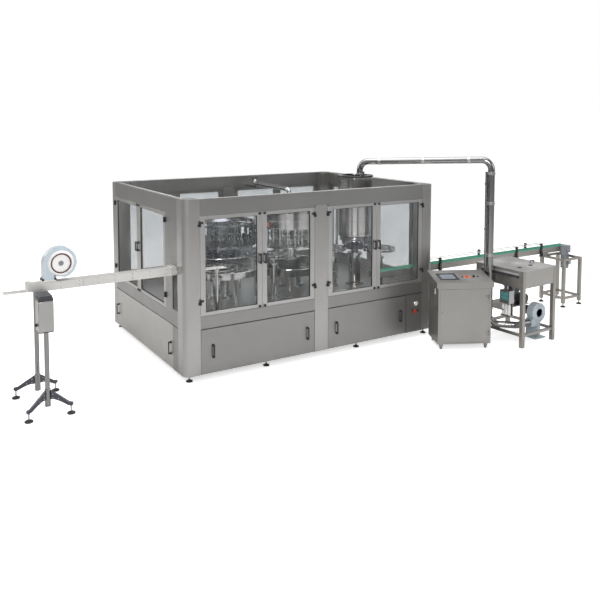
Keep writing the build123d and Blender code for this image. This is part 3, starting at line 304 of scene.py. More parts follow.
def moulding_group():
    """Moulded or painted skin: faint pebbled texture, tone drift and rubbed patches."""
    group, start, end = new_group("moulding", {
        "Vector": ("NodeSocketVector", None),
        "Colour": ("NodeSocketColor", (0.1, 0.1, 0.1, 1)),
        "Pebble": ("NodeSocketFloat", 900.0),
        "Drift": ("NodeSocketFloat", 0.16),
        "Roughness": ("NodeSocketFloat", 0.45)}, SKIN)
    pebble = group.nodes.new("ShaderNodeTexNoise")
    pebble.inputs["Detail"].default_value = 2.0
    group.links.new(start.outputs["Vector"], pebble.inputs["Vector"])
    group.links.new(start.outputs["Pebble"], pebble.inputs["Scale"])
    drift = noise(group, start.outputs["Vector"], 7.0, 4.0, 0.6)
    dust = noise(group, start.outputs["Vector"], 28.0, 3.0, 0.6)
    change = maths(group, "MULTIPLY", maths(group, "SUBTRACT", drift, 0.5), start.outputs["Drift"])
    tone = maths(group, "ADD", maths(group, "ADD", change, 1.0),
        span(group, dust, 0.55, 0.8, 0.0, 0.10))
    group.links.new(tinted(group, start.outputs["Colour"], tone), end.inputs["Colour"])
    rough = maths(group, "ADD", start.outputs["Roughness"],
        span(group, dust, 0.4, 0.8, -0.04, 0.10))
    group.links.new(rough, end.inputs["Roughness"])
    group.links.new(bumped(group, pebble.outputs["Fac"], 0.15, 0.0003), end.inputs["Normal"])
    return group


BRUSHING = brushing_group()
MOULDING = moulding_group()
ALONG_X = (3, 300, 300)
ALONG_Y = (300, 3, 300)
ALONG_Z = (300, 300, 3)


def finish(name, group, metallic, settings, **shader):
    """A material whose colour, roughness and normal come from one shared group."""
    material = bpy.data.materials.new(name)
    material.use_nodes = True
    tree = material.node_tree
    surface = tree.nodes["Principled BSDF"]
    surface.inputs["Metallic"].default_value = metallic
    for label, value in shader.items():
        surface.inputs[label.replace("_", " ")].default_value = value
    effect = tree.nodes.new("ShaderNodeGroup")
    effect.node_tree = group
    for label, value in settings.items():
        effect.inputs[label].default_value = value
    where = tree.nodes.new("ShaderNodeTexCoord")
    tree.links.new(where.outputs["Object"], effect.inputs["Vector"])
    tree.links.new(effect.outputs["Colour"], surface.inputs["Base Color"])
    tree.links.new(effect.outputs["Roughness"], surface.inputs["Roughness"])
    tree.links.new(effect.outputs["Normal"], surface.inputs["Normal"])
    return material


def steel(name, colour, along, rough=0.32, grain=0.16, patches=0.14):
    """Brushed stainless steel whose lines run along one axis."""
    return finish(name, BRUSHING, 1.0, {
        "Stretch": along, "Colour": (*colour, 1), "Grain": grain, "Patches": patches,
        "Roughness": rough}, Anisotropic=0.35)


def moulded(name, colour, rough=0.45, pebble=900.0, metallic=0.0, **shader):
    """Plastic, rubber or paint."""
    return finish(name, MOULDING, metallic, {
        "Colour": (*colour, 1), "Roughness": rough, "Pebble": pebble}, **shader)


def clear_pane(name, colour, thin, thick):
    """Guard sheet: a colour, and how much its film holds back where thinnest and thickest."""
    material = bpy.data.materials.new(name)
    material.use_nodes = True
    tree = material.node_tree
    surface = tree.nodes["Principled BSDF"]
    surface.inputs["Base Color"].default_value = (*colour, 1)
    surface.inputs["IOR"].default_value = 1.45
    where = tree.nodes.new("ShaderNodeTexCoord")
    haze = noise(tree, where.outputs["Object"], 2.2, 5.0, 0.65)
    streak = noise(tree, where.outputs["Object"], 14.0, 3.0, 0.6)
    tree.links.new(span(tree, haze, 0.35, 0.75, thin, thick), surface.inputs["Alpha"])
    tree.links.new(span(tree, streak, 0.3, 0.8, 0.03, 0.16), surface.inputs["Roughness"])
    return material


post_steel = steel("post_steel_finish", (0.40, 0.395, 0.385), ALONG_Z, 0.30)
panel_steel = steel("panel_steel_finish", (0.295, 0.292, 0.287), ALONG_X, 0.36)
side_steel = steel("side_steel_finish", (0.44, 0.43, 0.41), ALONG_Y, 0.36)
door_steel = steel("door_steel_finish", (0.46, 0.455, 0.45), ALONG_Z, 0.33)
tube_steel = steel("tube_steel_finish", (0.40, 0.38, 0.35), ALONG_Z, 0.38)
deck_steel = steel("deck_steel_finish", (0.46, 0.45, 0.43), ALONG_X, 0.30)
top_steel = steel("table_top_finish", (0.60, 0.59, 0.58), ALONG_X, 0.42)
beam_steel = steel("beam_steel_finish", (0.72, 0.71, 0.69), ALONG_X, 0.45, 0.10)
cabinet_steel = steel("cabinet_steel_finish", (0.36, 0.35, 0.335), ALONG_X, 0.40)
chrome = steel("polished_steel_finish", (0.44, 0.435, 0.43), ALONG_Z, 0.13, 0.10, 0.10)
pipe_steel = steel("round_tube_finish", (0.27, 0.268, 0.265), ALONG_Z, 0.17, 0.04, 0.08)
turret_steel = steel("turret_finish", (0.17, 0.175, 0.195), ALONG_Z, 0.24, 0.16, 0.20)
bright_sheet = steel("bright_sheet_finish", (0.50, 0.495, 0.49), ALONG_Z, 0.18, 0.14, 0.18)
pale_sheet = steel("pale_sheet_finish", (0.46, 0.46, 0.455), ALONG_X, 0.30, 0.12)
head_steel = steel("capping_head_finish", (0.20, 0.18, 0.22), ALONG_Z, 0.28, 0.2)
black = moulded("black_moulding", (0.018, 0.018, 0.019), 0.42)
rubber = moulded("black_rubber", (0.03, 0.03, 0.03), 0.72, 500.0)
band_black = moulded("gripper_black", (0.025, 0.027, 0.03), 0.38)
scroll_paint = moulded("scroll_paint", (0.50, 0.58, 0.63), 0.35, 300.0, Coat_Weight=0.3)
white_paint = moulded("white_paint", (0.85, 0.85, 0.84), 0.35, 400.0)
maroon = moulded("maroon_rubber", (0.10, 0.045, 0.045), 0.5)
cream = moulded("cream_moulding", (0.60, 0.54, 0.48), 0.4)
arm_paint = moulded("blue_black_paint", (0.030, 0.034, 0.050), 0.34, 250.0, Coat_Weight=0.4)
slat_green = moulded("green_slats", (0.012, 0.20, 0.10), 0.55, 600.0)
red = moulded("red_moulding", (0.55, 0.03, 0.02), 0.3)
orange = moulded("orange_plate", (0.62, 0.14, 0.07), 0.4)
teal = moulded("teal_plate", (0.10, 0.33, 0.33), 0.4)
motor_paint = moulded("motor_paint", (0.22, 0.235, 0.26), 0.4, 300.0, Coat_Weight=0.2)
dark_paint = moulded("dark_motor_paint", (0.035, 0.04, 0.045), 0.4)
screen_glass = moulded("screen_face", (0.16, 0.19, 0.22), 0.12, 50.0, Coat_Weight=0.6)
dial_white = moulded("dial_white", (0.88, 0.88, 0.86), 0.3)
pane = clear_pane("clear_pane_finish", (0.55, 0.60, 0.60), 0.02, 0.09)
hazy_pane = clear_pane("hazy_pane_finish", (0.42, 0.47, 0.50), 0.46, 0.56)


# ---------------------------------------------------------------- places read from the frame

def plan(node):
    """A node's box in plan axes: x0, x1, y0, y1, z0, z1."""
    low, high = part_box(node)
    low, high = np.array(low) - ORIGIN, np.array(high) - ORIGIN
    return low[0], high[0], low[1], high[1], low[2], high[2]


WIDTH = plan("corner_posts")[1]
DEPTH = plan("corner_posts")[3]
POST = 0.224
DOORS = ("guard_door_1", "guard_door_2", "guard_door_3", "guard_door_4", "side_door_1",
    "side_door_2")
STILE, RAIL, DOOR_DEEP = 0.073, 0.044, 0.040
HINGE_LEVELS = (1.015, 2.035)


def pivot(joint_name):
    """A joint's own point in plan axes."""
    for joint in frame["joints"]:
        if joint["name"] == joint_name:
            return np.array(joint["pos_m"]) - ORIGIN
    raise ValueError(joint_name)


# ---------------------------------------------------------------- materials on the CAD nodes

def dress(node, material):
    """Give a carried-over node its detailed material."""
    slots = nodes[node].data.materials
    slots.clear()
    slots.append(material)


def dress_frame_nodes():
    """The detailed material of every CAD node that shows in full or in part."""
    plain = {
        post_steel: ("corner_posts",),
        panel_steel: ("cross_rails", "fixed_lower_panels", "fixed_guard_frames"),
        deck_steel: ("base_frame", "bed_plate"),
        pipe_steel: ("cap_pipe", "product_piping"),
        turret_steel: ("rinser_carousel",),
        chrome: ("filler_valves", "star_pedestals", "drive_shaft",
                 "infeed_star", "transfer_star", "capper_star", "discharge_star", "rinser_base",
                 "filler_base", "capper_column"),
        bright_sheet: ("cap_sorter", "filler_bowl"),
        head_steel: ("capper_heads",),
        band_black: ("rinser_grippers",),
        beam_steel: ("infeed_beam",),
        cabinet_steel: ("cabinet_body", "cabinet_console", "cabinet_door"),
        black: ("hinge_pins", "console_selector"),
        red: ("stop_button",),
        orange: ("console_button",),
        scroll_paint: ("lift_blower",),
        top_steel: ("hopper_lid",),
        tube_steel: ("conveyor_bed",),
        cream: ("blower_impeller",),
        motor_paint: ("conveyor_drive",),
        pane: tuple(door + "_pane" for door in DOORS),
        hazy_pane: ("fixed_guard_panes",),
    }
    for material, names in plain.items():
        for name in names:
            dress(name, material)


# ---------------------------------------------------------------- guard housing

def across(side, b0, b1, c0, c1, d0, d1):
    """A box on the front or the left side: its stretch along the face, its heights, its depths."""
    return slab(d0, d1, b0, b1, c0, c1) if side else slab(b0, b1, d0, d1, c0, c1)


def door_pieces(door):
    """Stiles, rails and gasket of a door round its pane, and its black fittings."""
    x0, x1, y0, y1, z0, z1 = plan(door + "_pane")
    side = door.startswith("side")
    hinge = pivot(door + "_swing")
    a0, a1 = (y0, y1) if side else (x0, x1)
    bars = [(a0 - STILE, a0, z0 - RAIL, z1 + RAIL), (a1, a1 + STILE, z0 - RAIL, z1 + RAIL),
            (a0, a1, z0 - RAIL, z0), (a0, a1, z1, z1 + RAIL)]
    seals = [(a0, a0 + 0.006, z0, z1), (a1 - 0.006, a1, z0, z1),
             (a0 + 0.006, a1 - 0.006, z0, z0 + 0.006), (a0 + 0.006, a1 - 0.006, z1 - 0.006, z1)]
    frame_parts = [across(side, *bar, 0.0, DOOR_DEEP) for bar in bars]
    piece(door + "_frame", frame_parts, side_steel if side else door_steel, 0.0025,
        body=door, stands_for=(door,))
    piece(door + "_seal", [across(side, *seal, 0.010, 0.030) for seal in seals], rubber,
        0.001, body=door)
    hinge_a = hinge[1] if side else hinge[0]
    grip_a = a1 + STILE / 2 if abs(a0 - hinge_a) < abs(a1 - hinge_a) else a0 - STILE / 2
    fittings = []
    for low in (z0 - RAIL + 0.002, z1 + RAIL - 0.034):
        fittings.append(across(side, grip_a - 0.017, grip_a + 0.017,
                               low, low + 0.032, -0.012, 0.0))
    for low in (1.470, 1.580):
        fittings.append(across(side, grip_a - 0.011, grip_a + 0.011,
                               low, low + 0.020, -0.030, 0.0))
    fittings.append(across(side, grip_a - 0.011, grip_a + 0.011, 1.465, 1.605, -0.042, -0.029))
    for height in HINGE_LEVELS:
        fittings.append(turned([(0.006, 0), (0.0125, 0), (0.0135, 0.003), (0.0135, 0.028),
            (0.0125, 0.0312), (0.006, 0.0312)], (hinge[0], hinge[1], height + 0.0326)))
        toward = 1 if (a0 + a1) / 2 > hinge_a else -1
        near, far = sorted((hinge_a, hinge_a + toward * 0.047))
        fittings.append(across(side, near, far, height + 0.034, height + 0.063, -0.0085, 0.0))
    piece(door + "_fittings", fittings, black, 0.0012, body=door)


def panel_pieces(name, x0, x1, handle_at, side=False):
    """A lift-off panel with softened edges and its black bow handles."""
    z0, z1 = plan(name)[4:]
    piece(name + "_face", [across(side, x0, x1, z0, z1, 0.0, 0.030)],
        side_steel if side else panel_steel, 0.004, body=name, stands_for=(name,))
    bows = []
    low, high = (0.275, 0.445) if side else (0.295, 0.469)
    for at in handle_at:
        bows.append(across(side, at - 0.010, at + 0.010, low, high, -0.038, -0.027))
        bows.append(across(side, at - 0.010, at + 0.010, low, low + 0.020, -0.028, 0.0))
        bows.append(across(side, at - 0.010, at + 0.010, high - 0.020, high, -0.028, 0.0))
        bows.append(across(side, at - 0.016, at + 0.016, low - 0.006, low + 0.026, -0.003, 0.0))
        bows.append(across(side, at - 0.016, at + 0.016, high - 0.026, high + 0.006, -0.003, 0.0))
    piece(name + "_bows", bows, black, 0.004, body=name)


def housing_trim():
    """Inward top flange, panel seams and hinge covers of the housing."""
    top = plan("corner_posts")[5]
    far_x, far_y = WIDTH - POST, DEPTH - POST
    flange = slabs((POST, far_x, 0.060, 0.085, top - 0.004, top),
        (POST, far_x, DEPTH - 0.085, DEPTH - 0.060, top - 0.004, top),
        (0.060, 0.085, POST, far_y, top - 0.004, top),
        (WIDTH - 0.085, WIDTH - 0.060, POST, far_y, top - 0.004, top))
    # The flange takes the pale beam steel, lighter than the fascia steel it is folded from: a
    # painted highlight along its lit top edge.
    piece("top_flange", flange, beam_steel, 0.001)
    gaps = slabs((POST, far_x, 0.032, 0.058, 0.684, 0.694),
        (0.032, 0.058, POST, far_y, 0.684, 0.694))
    piece("panel_gap_strip", gaps, rubber, 0.001)
    covers = []
    for door in DOORS:
        x, y = pivot(door + "_swing")[:2]
        for height in HINGE_LEVELS:
            covers.append(turned([(0.009, 0), (0.0138, 0.002), (0.0138, 0.030), (0.009, 0.032)],
                                 (x, y, height)))
            covers.append(turned([(0.004, 0), (0.0105, 0.001), (0.009, 0.007), (0.003, 0.010)],
                                 (x, y, height + 0.0645)))
    piece("hinge_covers", covers, black)


def feet_pieces():
    """Round rubber pads, chrome rods and lock nuts under the housing."""
    pads, rods = [], []
    for x in (0.100, 1.243, 2.780, WIDTH - 0.100):
        for y in (0.100, DEPTH - 0.100):
            corner = x < POST or x > WIDTH - POST
            top = 0.090 if corner else 0.100
            pads.append(turned([(0.043, 0), (0.045, 0.003), (0.045, 0.011), (0.036, 0.016),
                                (0.024, 0.020), (0.018, 0.030)], (x, y, 0)))
            rods.append(rod((x, y, 0.028), (x, y, top), 0.012))
            rods.append(turned([(0.018, 0), (0.0215, 0.002), (0.0215, 0.008), (0.018, 0.010)],
                               (x, y, top - 0.013), steps=6))
    piece("feet_pads", pads, rubber, stands_for=("levelling_feet",))
    piece("feet_rods", rods, chrome, stands_for=("levelling_feet",))


def gauge_pieces():
    """Dial with its bezel, ring of marks and needle, and the small knob beside it."""
    x, z = 3.843, 0.538
    facing = (0, -1, 0)
    bezel = [turned([(0.036, 0), (0.040, 0.002), (0.040, 0.022), (0.036, 0.026), (0.034, 0.026),
                     (0.034, 0.021)], (x, 0, z), facing)]
    piece("gauge_bezel", bezel, chrome, stands_for=("pressure_gauge",))
    dial = [turned([(0.02, 0.020), (0.034, 0.020), (0.034, 0.0225), (0.001, 0.0225)],
                   (x, 0, z), facing)]
    piece("gauge_dial", dial, dial_white)
    marks = []
    for step in range(11):
        angle = math.radians(225 - 27 * step)
        c, s = math.cos(angle), math.sin(angle)
        marks.append(rod((x + 0.024 * c, -0.0228, z + 0.024 * s),
                         (x + 0.030 * c, -0.0228, z + 0.030 * s), 0.0007, 6))
    marks.append(rod((x - 0.004, -0.0236, z - 0.004), (x + 0.017, -0.0236, z + 0.017), 0.0009, 6))
    marks.append(turned([(0.002, 0), (0.004, 0.0005), (0.003, 0.002)],
                        (x, -0.0226, z), facing, 16))
    marks.append(turned([(0.012, 0), (0.014, 0.002), (0.014, 0.020), (0.011, 0.024)],
                        (3.890, 0, 0.415), facing, 24))
    piece("gauge_marks", marks, black)


# ---------------------------------------------------------------- infeed: stand and fan

STAND_X, BEAM_Y = -1.690, 0.300
COLUMN_OFF = 0.280


def arm_part(near, far):
    """A splayed arm: its side outline tapers outwards and it is turned to face its pad."""
    length = math.hypot(far[0] - near[0], far[1] - near[1])
    outline = [(0.036, 0.178), (0.080, 0.176), (0.150, 0.148), (length - 0.030, 0.101),
        (length + 0.024, 0.101), (length + 0.024, 0.134), (length - 0.020, 0.142), (0.150, 0.208),
        (0.075, 0.258), (0.036, 0.285)]
    angle = math.atan2(far[1] - near[1], far[0] - near[0])
    return moved(prism(outline, -0.016, 0.016), angle, (near[0], near[1], 0))


def stand_pieces():
    """Chrome columns, drive box, painted arms, rods and rubber pads of the infeed stand."""
    x = STAND_X
    front, rear = BEAM_Y - COLUMN_OFF, BEAM_Y + COLUMN_OFF
    columns, arms, rods, pads, bolts = [], [], [], [], []
    for at, top, side in ((front, 0.965, -1), (rear, 1.365, 1)):
        columns.append(rod((x, at, 0.300), (x, at, top), 0.027, 40, 0.001))
        columns.append(rod((x, at, 0.095), (x, at, 0.300), 0.034, 40, 0.003))
        for step in (-1, 1):
            pad = (x + step * 0.235, at + side * 0.120)
            arms.append(arm_part((x, at), pad))
            rods.append(rod((pad[0], pad[1], 0.028), (pad[0], pad[1], 0.103), 0.009))
            rods.append(turned([(0.013, 0), (0.016, 0.002), (0.016, 0.009), (0.013, 0.011)],
                               (pad[0], pad[1], 0.088), steps=6))
            pads.append(turned([(0.046, 0), (0.048, 0.003), (0.048, 0.012), (0.040, 0.018),
                                (0.024, 0.024), (0.014, 0.031)], (pad[0], pad[1], 0)))
            angle = math.atan2(pad[1] - at, pad[0] - x)
            for reach, height in ((0.062, 0.240), (0.062, 0.198), (0.125, 0.185)):
                for face in (-1, 1):
                    outward = np.array([-math.sin(angle), math.cos(angle), 0]) * face
                    place = np.array([x + reach * math.cos(angle),
                                      at + reach * math.sin(angle), height])
                    bolts.append(turned([(0.007, 0), (0.009, 0.001), (0.008, 0.005),
                                         (0.004, 0.007)], place + outward * 0.0155, outward, 12))
    piece("stand_columns", columns, pipe_steel, stands_for=("infeed_stand",))
    piece("stand_arms", arms, arm_paint, 0.004, stands_for=("infeed_stand",))
    piece("stand_rods", rods + bolts, chrome, stands_for=("infeed_stand",))
    piece("stand_pads", pads, rubber, stands_for=("infeed_stand",))
    box = [slab(x - 0.085, x + 0.085, front - 0.035, front + 0.145, 0.975, 1.330)]
    piece("stand_box", box, post_steel, 0.006, stands_for=("infeed_stand",))
    band = slabs((x - 0.083, x + 0.083, front - 0.033, front + 0.143, 1.332, 1.365),
        (x - 0.072, x + 0.072, front - 0.035, rear + 0.035, 1.365, 1.395),
        (x - 0.080, x + 0.080, front - 0.030, front + 0.140, 0.965, 0.975))
    piece("stand_saddle", band, dark_paint, 0.002, stands_for=("infeed_stand",))
    knob = [turned([(0.010, 0), (0.012, 0.004), (0.020, 0.008), (0.022, 0.020), (0.018, 0.028)],
                   (x - 0.085, front + 0.05, 1.05), (-1, 0, 0), 24)]
    piece("stand_knob", knob, black)


def scroll_outline(centre_x, centre_z, base_z, inner=0.190, outer=0.207):
    """Snail outline: the radius grows evenly with the angle, then drops straight to the outlet."""
    count = 44
    angle = np.linspace(math.radians(-75), math.radians(180), count)
    radius = np.linspace(inner - 0.012, outer, count)
    spiral = np.stack([centre_x + radius * np.cos(angle),
                       centre_z + radius * np.sin(angle)], axis=1)
    left = centre_x - outer
    neck = [(left, base_z), (left + 0.125, base_z), (left + 0.125, centre_z - 0.150)]
    return [tuple(point) for point in spiral] + neck


def holed_prism(outline, centre, radius, y0, y1, floor):
    """A flat (x, z) outline carried from y0 to y1 with a round pocket from y0 down to the floor.

    Each outline point is matched with the pocket's point at the same angle about the centre.
    """
    outline = np.array(outline, float)
    count = len(outline)
    off = outline - np.array(centre, float)
    angle = np.arctan2(off[:, 1], off[:, 0])
    circle = np.array(centre, float) + radius * np.stack([np.cos(angle), np.sin(angle)], axis=1)

    def at(points, y):
        return np.stack([points[:, 0], np.full(count, y), points[:, 1]], axis=1)

    vertices = np.concatenate([at(outline, y1), at(outline, y0),
                               at(circle, y0), at(circle, floor)])
    first = np.arange(count)
    after = (first + 1) % count
    faces = []
    for row in range(3):
        a, b = row * count + first, row * count + after
        faces.extend(zip(a, a + count, b + count, b))
    faces = [tuple(face[::-1]) for face in faces]
    faces.append(tuple(first[::-1]))
    faces.append(tuple(3 * count + first))
    return vertices, faces


def fan_pieces():
    """Snail housing with its pocket, rings, motor and outlet clamps, and the wheel inside it."""
    centre = pivot("blower_spin")
    x, z = centre[0], centre[2]
    y0, y1 = BEAM_Y - 0.060, BEAM_Y + 0.060
    beam_top = 1.495
    outline = scroll_outline(x, z, beam_top + 0.020)
    shell = [holed_prism(outline, (x, z), 0.117, y0, y1, y1 - 0.006)]
    piece("fan_scroll", shell, scroll_paint, 0.0015,
        stands_for=("blower_housing",))
    left = x - 0.207
    base = [slab(left - 0.020, left + 0.150, BEAM_Y - 0.066, BEAM_Y + 0.066,
                 beam_top, beam_top + 0.020)]
    piece("fan_base", base, beam_steel, 0.003, stands_for=("blower_housing",))
    facing = (0, -1, 0)
    ring_part = [turned([(0.152, 0), (0.150, 0.004), (0.134, 0.016), (0.126, 0.016),
                         (0.120, 0.010), (0.118, 0.001)], (x, y0, z), facing, 72)]
    piece("fan_inlet_ring", ring_part, white_paint, stands_for=("blower_housing",))
    rubber_ring = [hoop(0.1125, 0.009, (x, y0 - 0.006, z), facing, 64, 14)]
    piece("fan_rubber_ring", rubber_ring, maroon, stands_for=("blower_housing",))
    motor = [turned([(0.066, 0.002), (0.074, 0.010), (0.074, 0.140), (0.068, 0.150),
                     (0.068, 0.166), (0.050, 0.171)], (x, y1, z), (0, 1, 0), 48)]
    motor += fins(20, 0.0745, (x, y1, z), (0, 1, 0), 0.020, 0.135, 0.002)
    piece("fan_motor", motor, dark_paint, stands_for=("blower_housing",))
    clamps = []
    for dx in (-0.014, 0.128):
        for dy in (-0.062, 0.030):
            clamps.append(slab(left + dx, left + dx + 0.026, BEAM_Y + dy, BEAM_Y + dy + 0.032,
                               beam_top + 0.020, beam_top + 0.044))
    piece("fan_clamps", clamps, black, 0.003)
    wheel = [turned([(0.103, 0.0), (0.104, 0.003), (0.070, 0.006), (0.034, 0.008), (0.030, 0.012)],
                    (x, y0 + 0.012, z), facing, 64)]
    piece("fan_wheel", wheel, cream, body="blower_impeller",
        stands_for=("blower_impeller",))
    blades = []
    for step in range(18):
        angle = TURN * step / 18
        blade = slab(0.060, 0.102, -0.0015, 0.0015, 0.0, 0.050)
        points = blade[0]
        c, s = math.cos(angle), math.sin(angle)
        turned_points = np.stack([x + points[:, 0] * c - points[:, 1] * s,
            y0 + 0.012 + points[:, 2], z + points[:, 0] * s + points[:, 1] * c], axis=1)
        blades.append((turned_points, [face[::-1] for face in blade[1]]))
    piece("fan_blades", blades, pale_sheet, body="blower_impeller",
        stands_for=("blower_impeller",))
    hub = [turned([(0.030, 0), (0.030, 0.006), (0.026, 0.010), (0.012, 0.012), (0.009, 0.018),
        (0.004, 0.019)], (x, y0 + 0.002, z), facing, 40),
        rod((x, y0 + 0.012, z), (x, y1 + 0.04, z), 0.015)]
    piece("fan_hub", hub, motor_paint, body="blower_impeller",
        stands_for=("blower_impeller",))


def beam_trim():
    """Seams and side screws of the air beam, and the screws of its wall flange."""
    left, right = -1.785, -0.004
    half = 0.070
    seams = [slab(at, at + 0.004, BEAM_Y - half - 0.0015, BEAM_Y - half, 1.396, 1.494)
             for at in (-1.20, -0.60, -0.070)]
    piece("beam_seams", seams, tube_steel, 0.0004)
    screws = []
    for at in np.arange(left + 0.10, right - 0.05, 0.22):
        for height in (1.425, 1.478):
            screws.append(turned([(0.005, 0), (0.006, 0.001), (0.004, 0.003)],
                (at, BEAM_Y - half, height), (0, -1, 0), 12))
    for x_at in (-0.056, -0.020):
        for side in (-1, 1):
            screws.append(turned([(0.005, 0), (0.0085, 0.0), (0.0085, 0.004), (0.006, 0.006)],
                                 (x_at, BEAM_Y + side * 0.082, 1.503), steps=6))
    piece("beam_screws", screws, chrome)


# ---------------------------------------------------------------- operator console

CABINET_TURN = math.radians(-26.5)
CABINET_AT = (3.720, -0.660, 0.0)
CABINET_W, CABINET_D = 0.800, 0.520
RISE = math.atan2(0.062, 0.580)


def at_cabinet(parts):
    """Parts made at the cabinet's front left corner, carried to the cabinet."""
    return [moved(part, CABINET_TURN, CABINET_AT) for part in parts]


def on_console(parts):
    """Parts made on a level top, tipped to the console's slope and carried to the cabinet."""
    c, s = math.cos(RISE), math.sin(RISE)
    tipped = []
    for points, faces in parts:
        x, y, z = points.T
        tipped.append((np.stack([x, y * c - z * s - 0.030, y * s + z * c + 1.010], axis=1), faces))
    return at_cabinet(tipped)


def console_pieces():
    """Screen in its dark bezel, orange control plate and knobs, and the trim of its cabinet."""
    bezel = slabs((0.058, 0.352, 0.138, 0.150, -0.001, 0.006),
        (0.058, 0.352, 0.400, 0.412, -0.001, 0.006),
        (0.058, 0.070, 0.150, 0.400, -0.001, 0.006),
        (0.340, 0.352, 0.150, 0.400, -0.001, 0.006),
        (0.074, 0.336, 0.154, 0.396, -0.0009, 0.0002))
    piece("screen_bezel", on_console(bezel), dark_paint, 0.002)
    face = [slab(0.100, 0.310, 0.180, 0.376, 0.0004, 0.0012)]
    piece("screen_face", on_console(face), screen_glass, 0.0005)
    plate = slabs((0.455, 0.477, 0.205, 0.295, 0.0, 0.004),
        (0.523, 0.545, 0.205, 0.295, 0.0, 0.004),
        (0.477, 0.523, 0.273, 0.295, 0.0, 0.004),
        (0.477, 0.523, 0.205, 0.227, 0.0, 0.004))
    piece("control_plate", on_console(plate), orange, 0.002)
    knobs = [turned([(0.009, 0), (0.011, 0.002), (0.011, 0.012), (0.008, 0.015)], (u, 0.250, 0),
        steps=24) for u in (0.425, 0.660)]
    piece("console_knobs", on_console(knobs), black)
    button = [turned([(0.013, -0.028), (0.014, -0.026), (0.014, 0.007), (0.020, 0.0085),
        (0.020, 0.013), (0.016, 0.016)], (0.500, 0.250, 0), steps=40)]
    piece("button_cap", on_console(button), red,
        body="console_button", stands_for=("console_button",))
    strip = [slab(-0.0012, 0.0, 0.145, 0.200, 0.800, 0.885)]
    piece("side_label_plate", at_cabinet(strip), white_paint,
        0.0005)
    lip = slabs((-0.002, CABINET_W + 0.002, -0.004, 0.0, 0.905, 0.930),
        (-0.002, 0.0, 0.0, CABINET_D, 0.912, 0.930),
        (0.010, CABINET_W - 0.010, -0.002, 0.0, 0.082, 0.096))
    piece("cabinet_lip", at_cabinet(lip), cabinet_steel, 0.001)
    lock = [turned([(0.011, 0), (0.0125, 0.002), (0.0125, 0.010), (0.009, 0.0165)],
        (0.075, 0, 0.560), (0, -1, 0), 32)]
    piece("door_lock", at_cabinet(lock), chrome,
        body="cabinet_door")
    # Thin dark strips along the door's left and top edges: painted shade standing for the dark of
    # the door gap.
    gap = slabs((0.028, 0.0295, -0.0006, 0.004, 0.104, 0.901),
        (0.0295, 0.770, -0.0006, 0.004, 0.9015, 0.904))
    piece("door_gap", at_cabinet(gap), dark_paint)


# ---------------------------------------------------------------- cap hopper table

TABLE_TURN = math.radians(3.2)
TABLE_AT = (4.824, -1.276, 0.0)
TABLE_W, TABLE_D, TABLE_H = 0.786, 0.901, 1.159


def at_table(parts):
    """Parts made at the table's front left corner, carried to the table."""
    return [moved(part, TABLE_TURN, TABLE_AT) for part in parts]


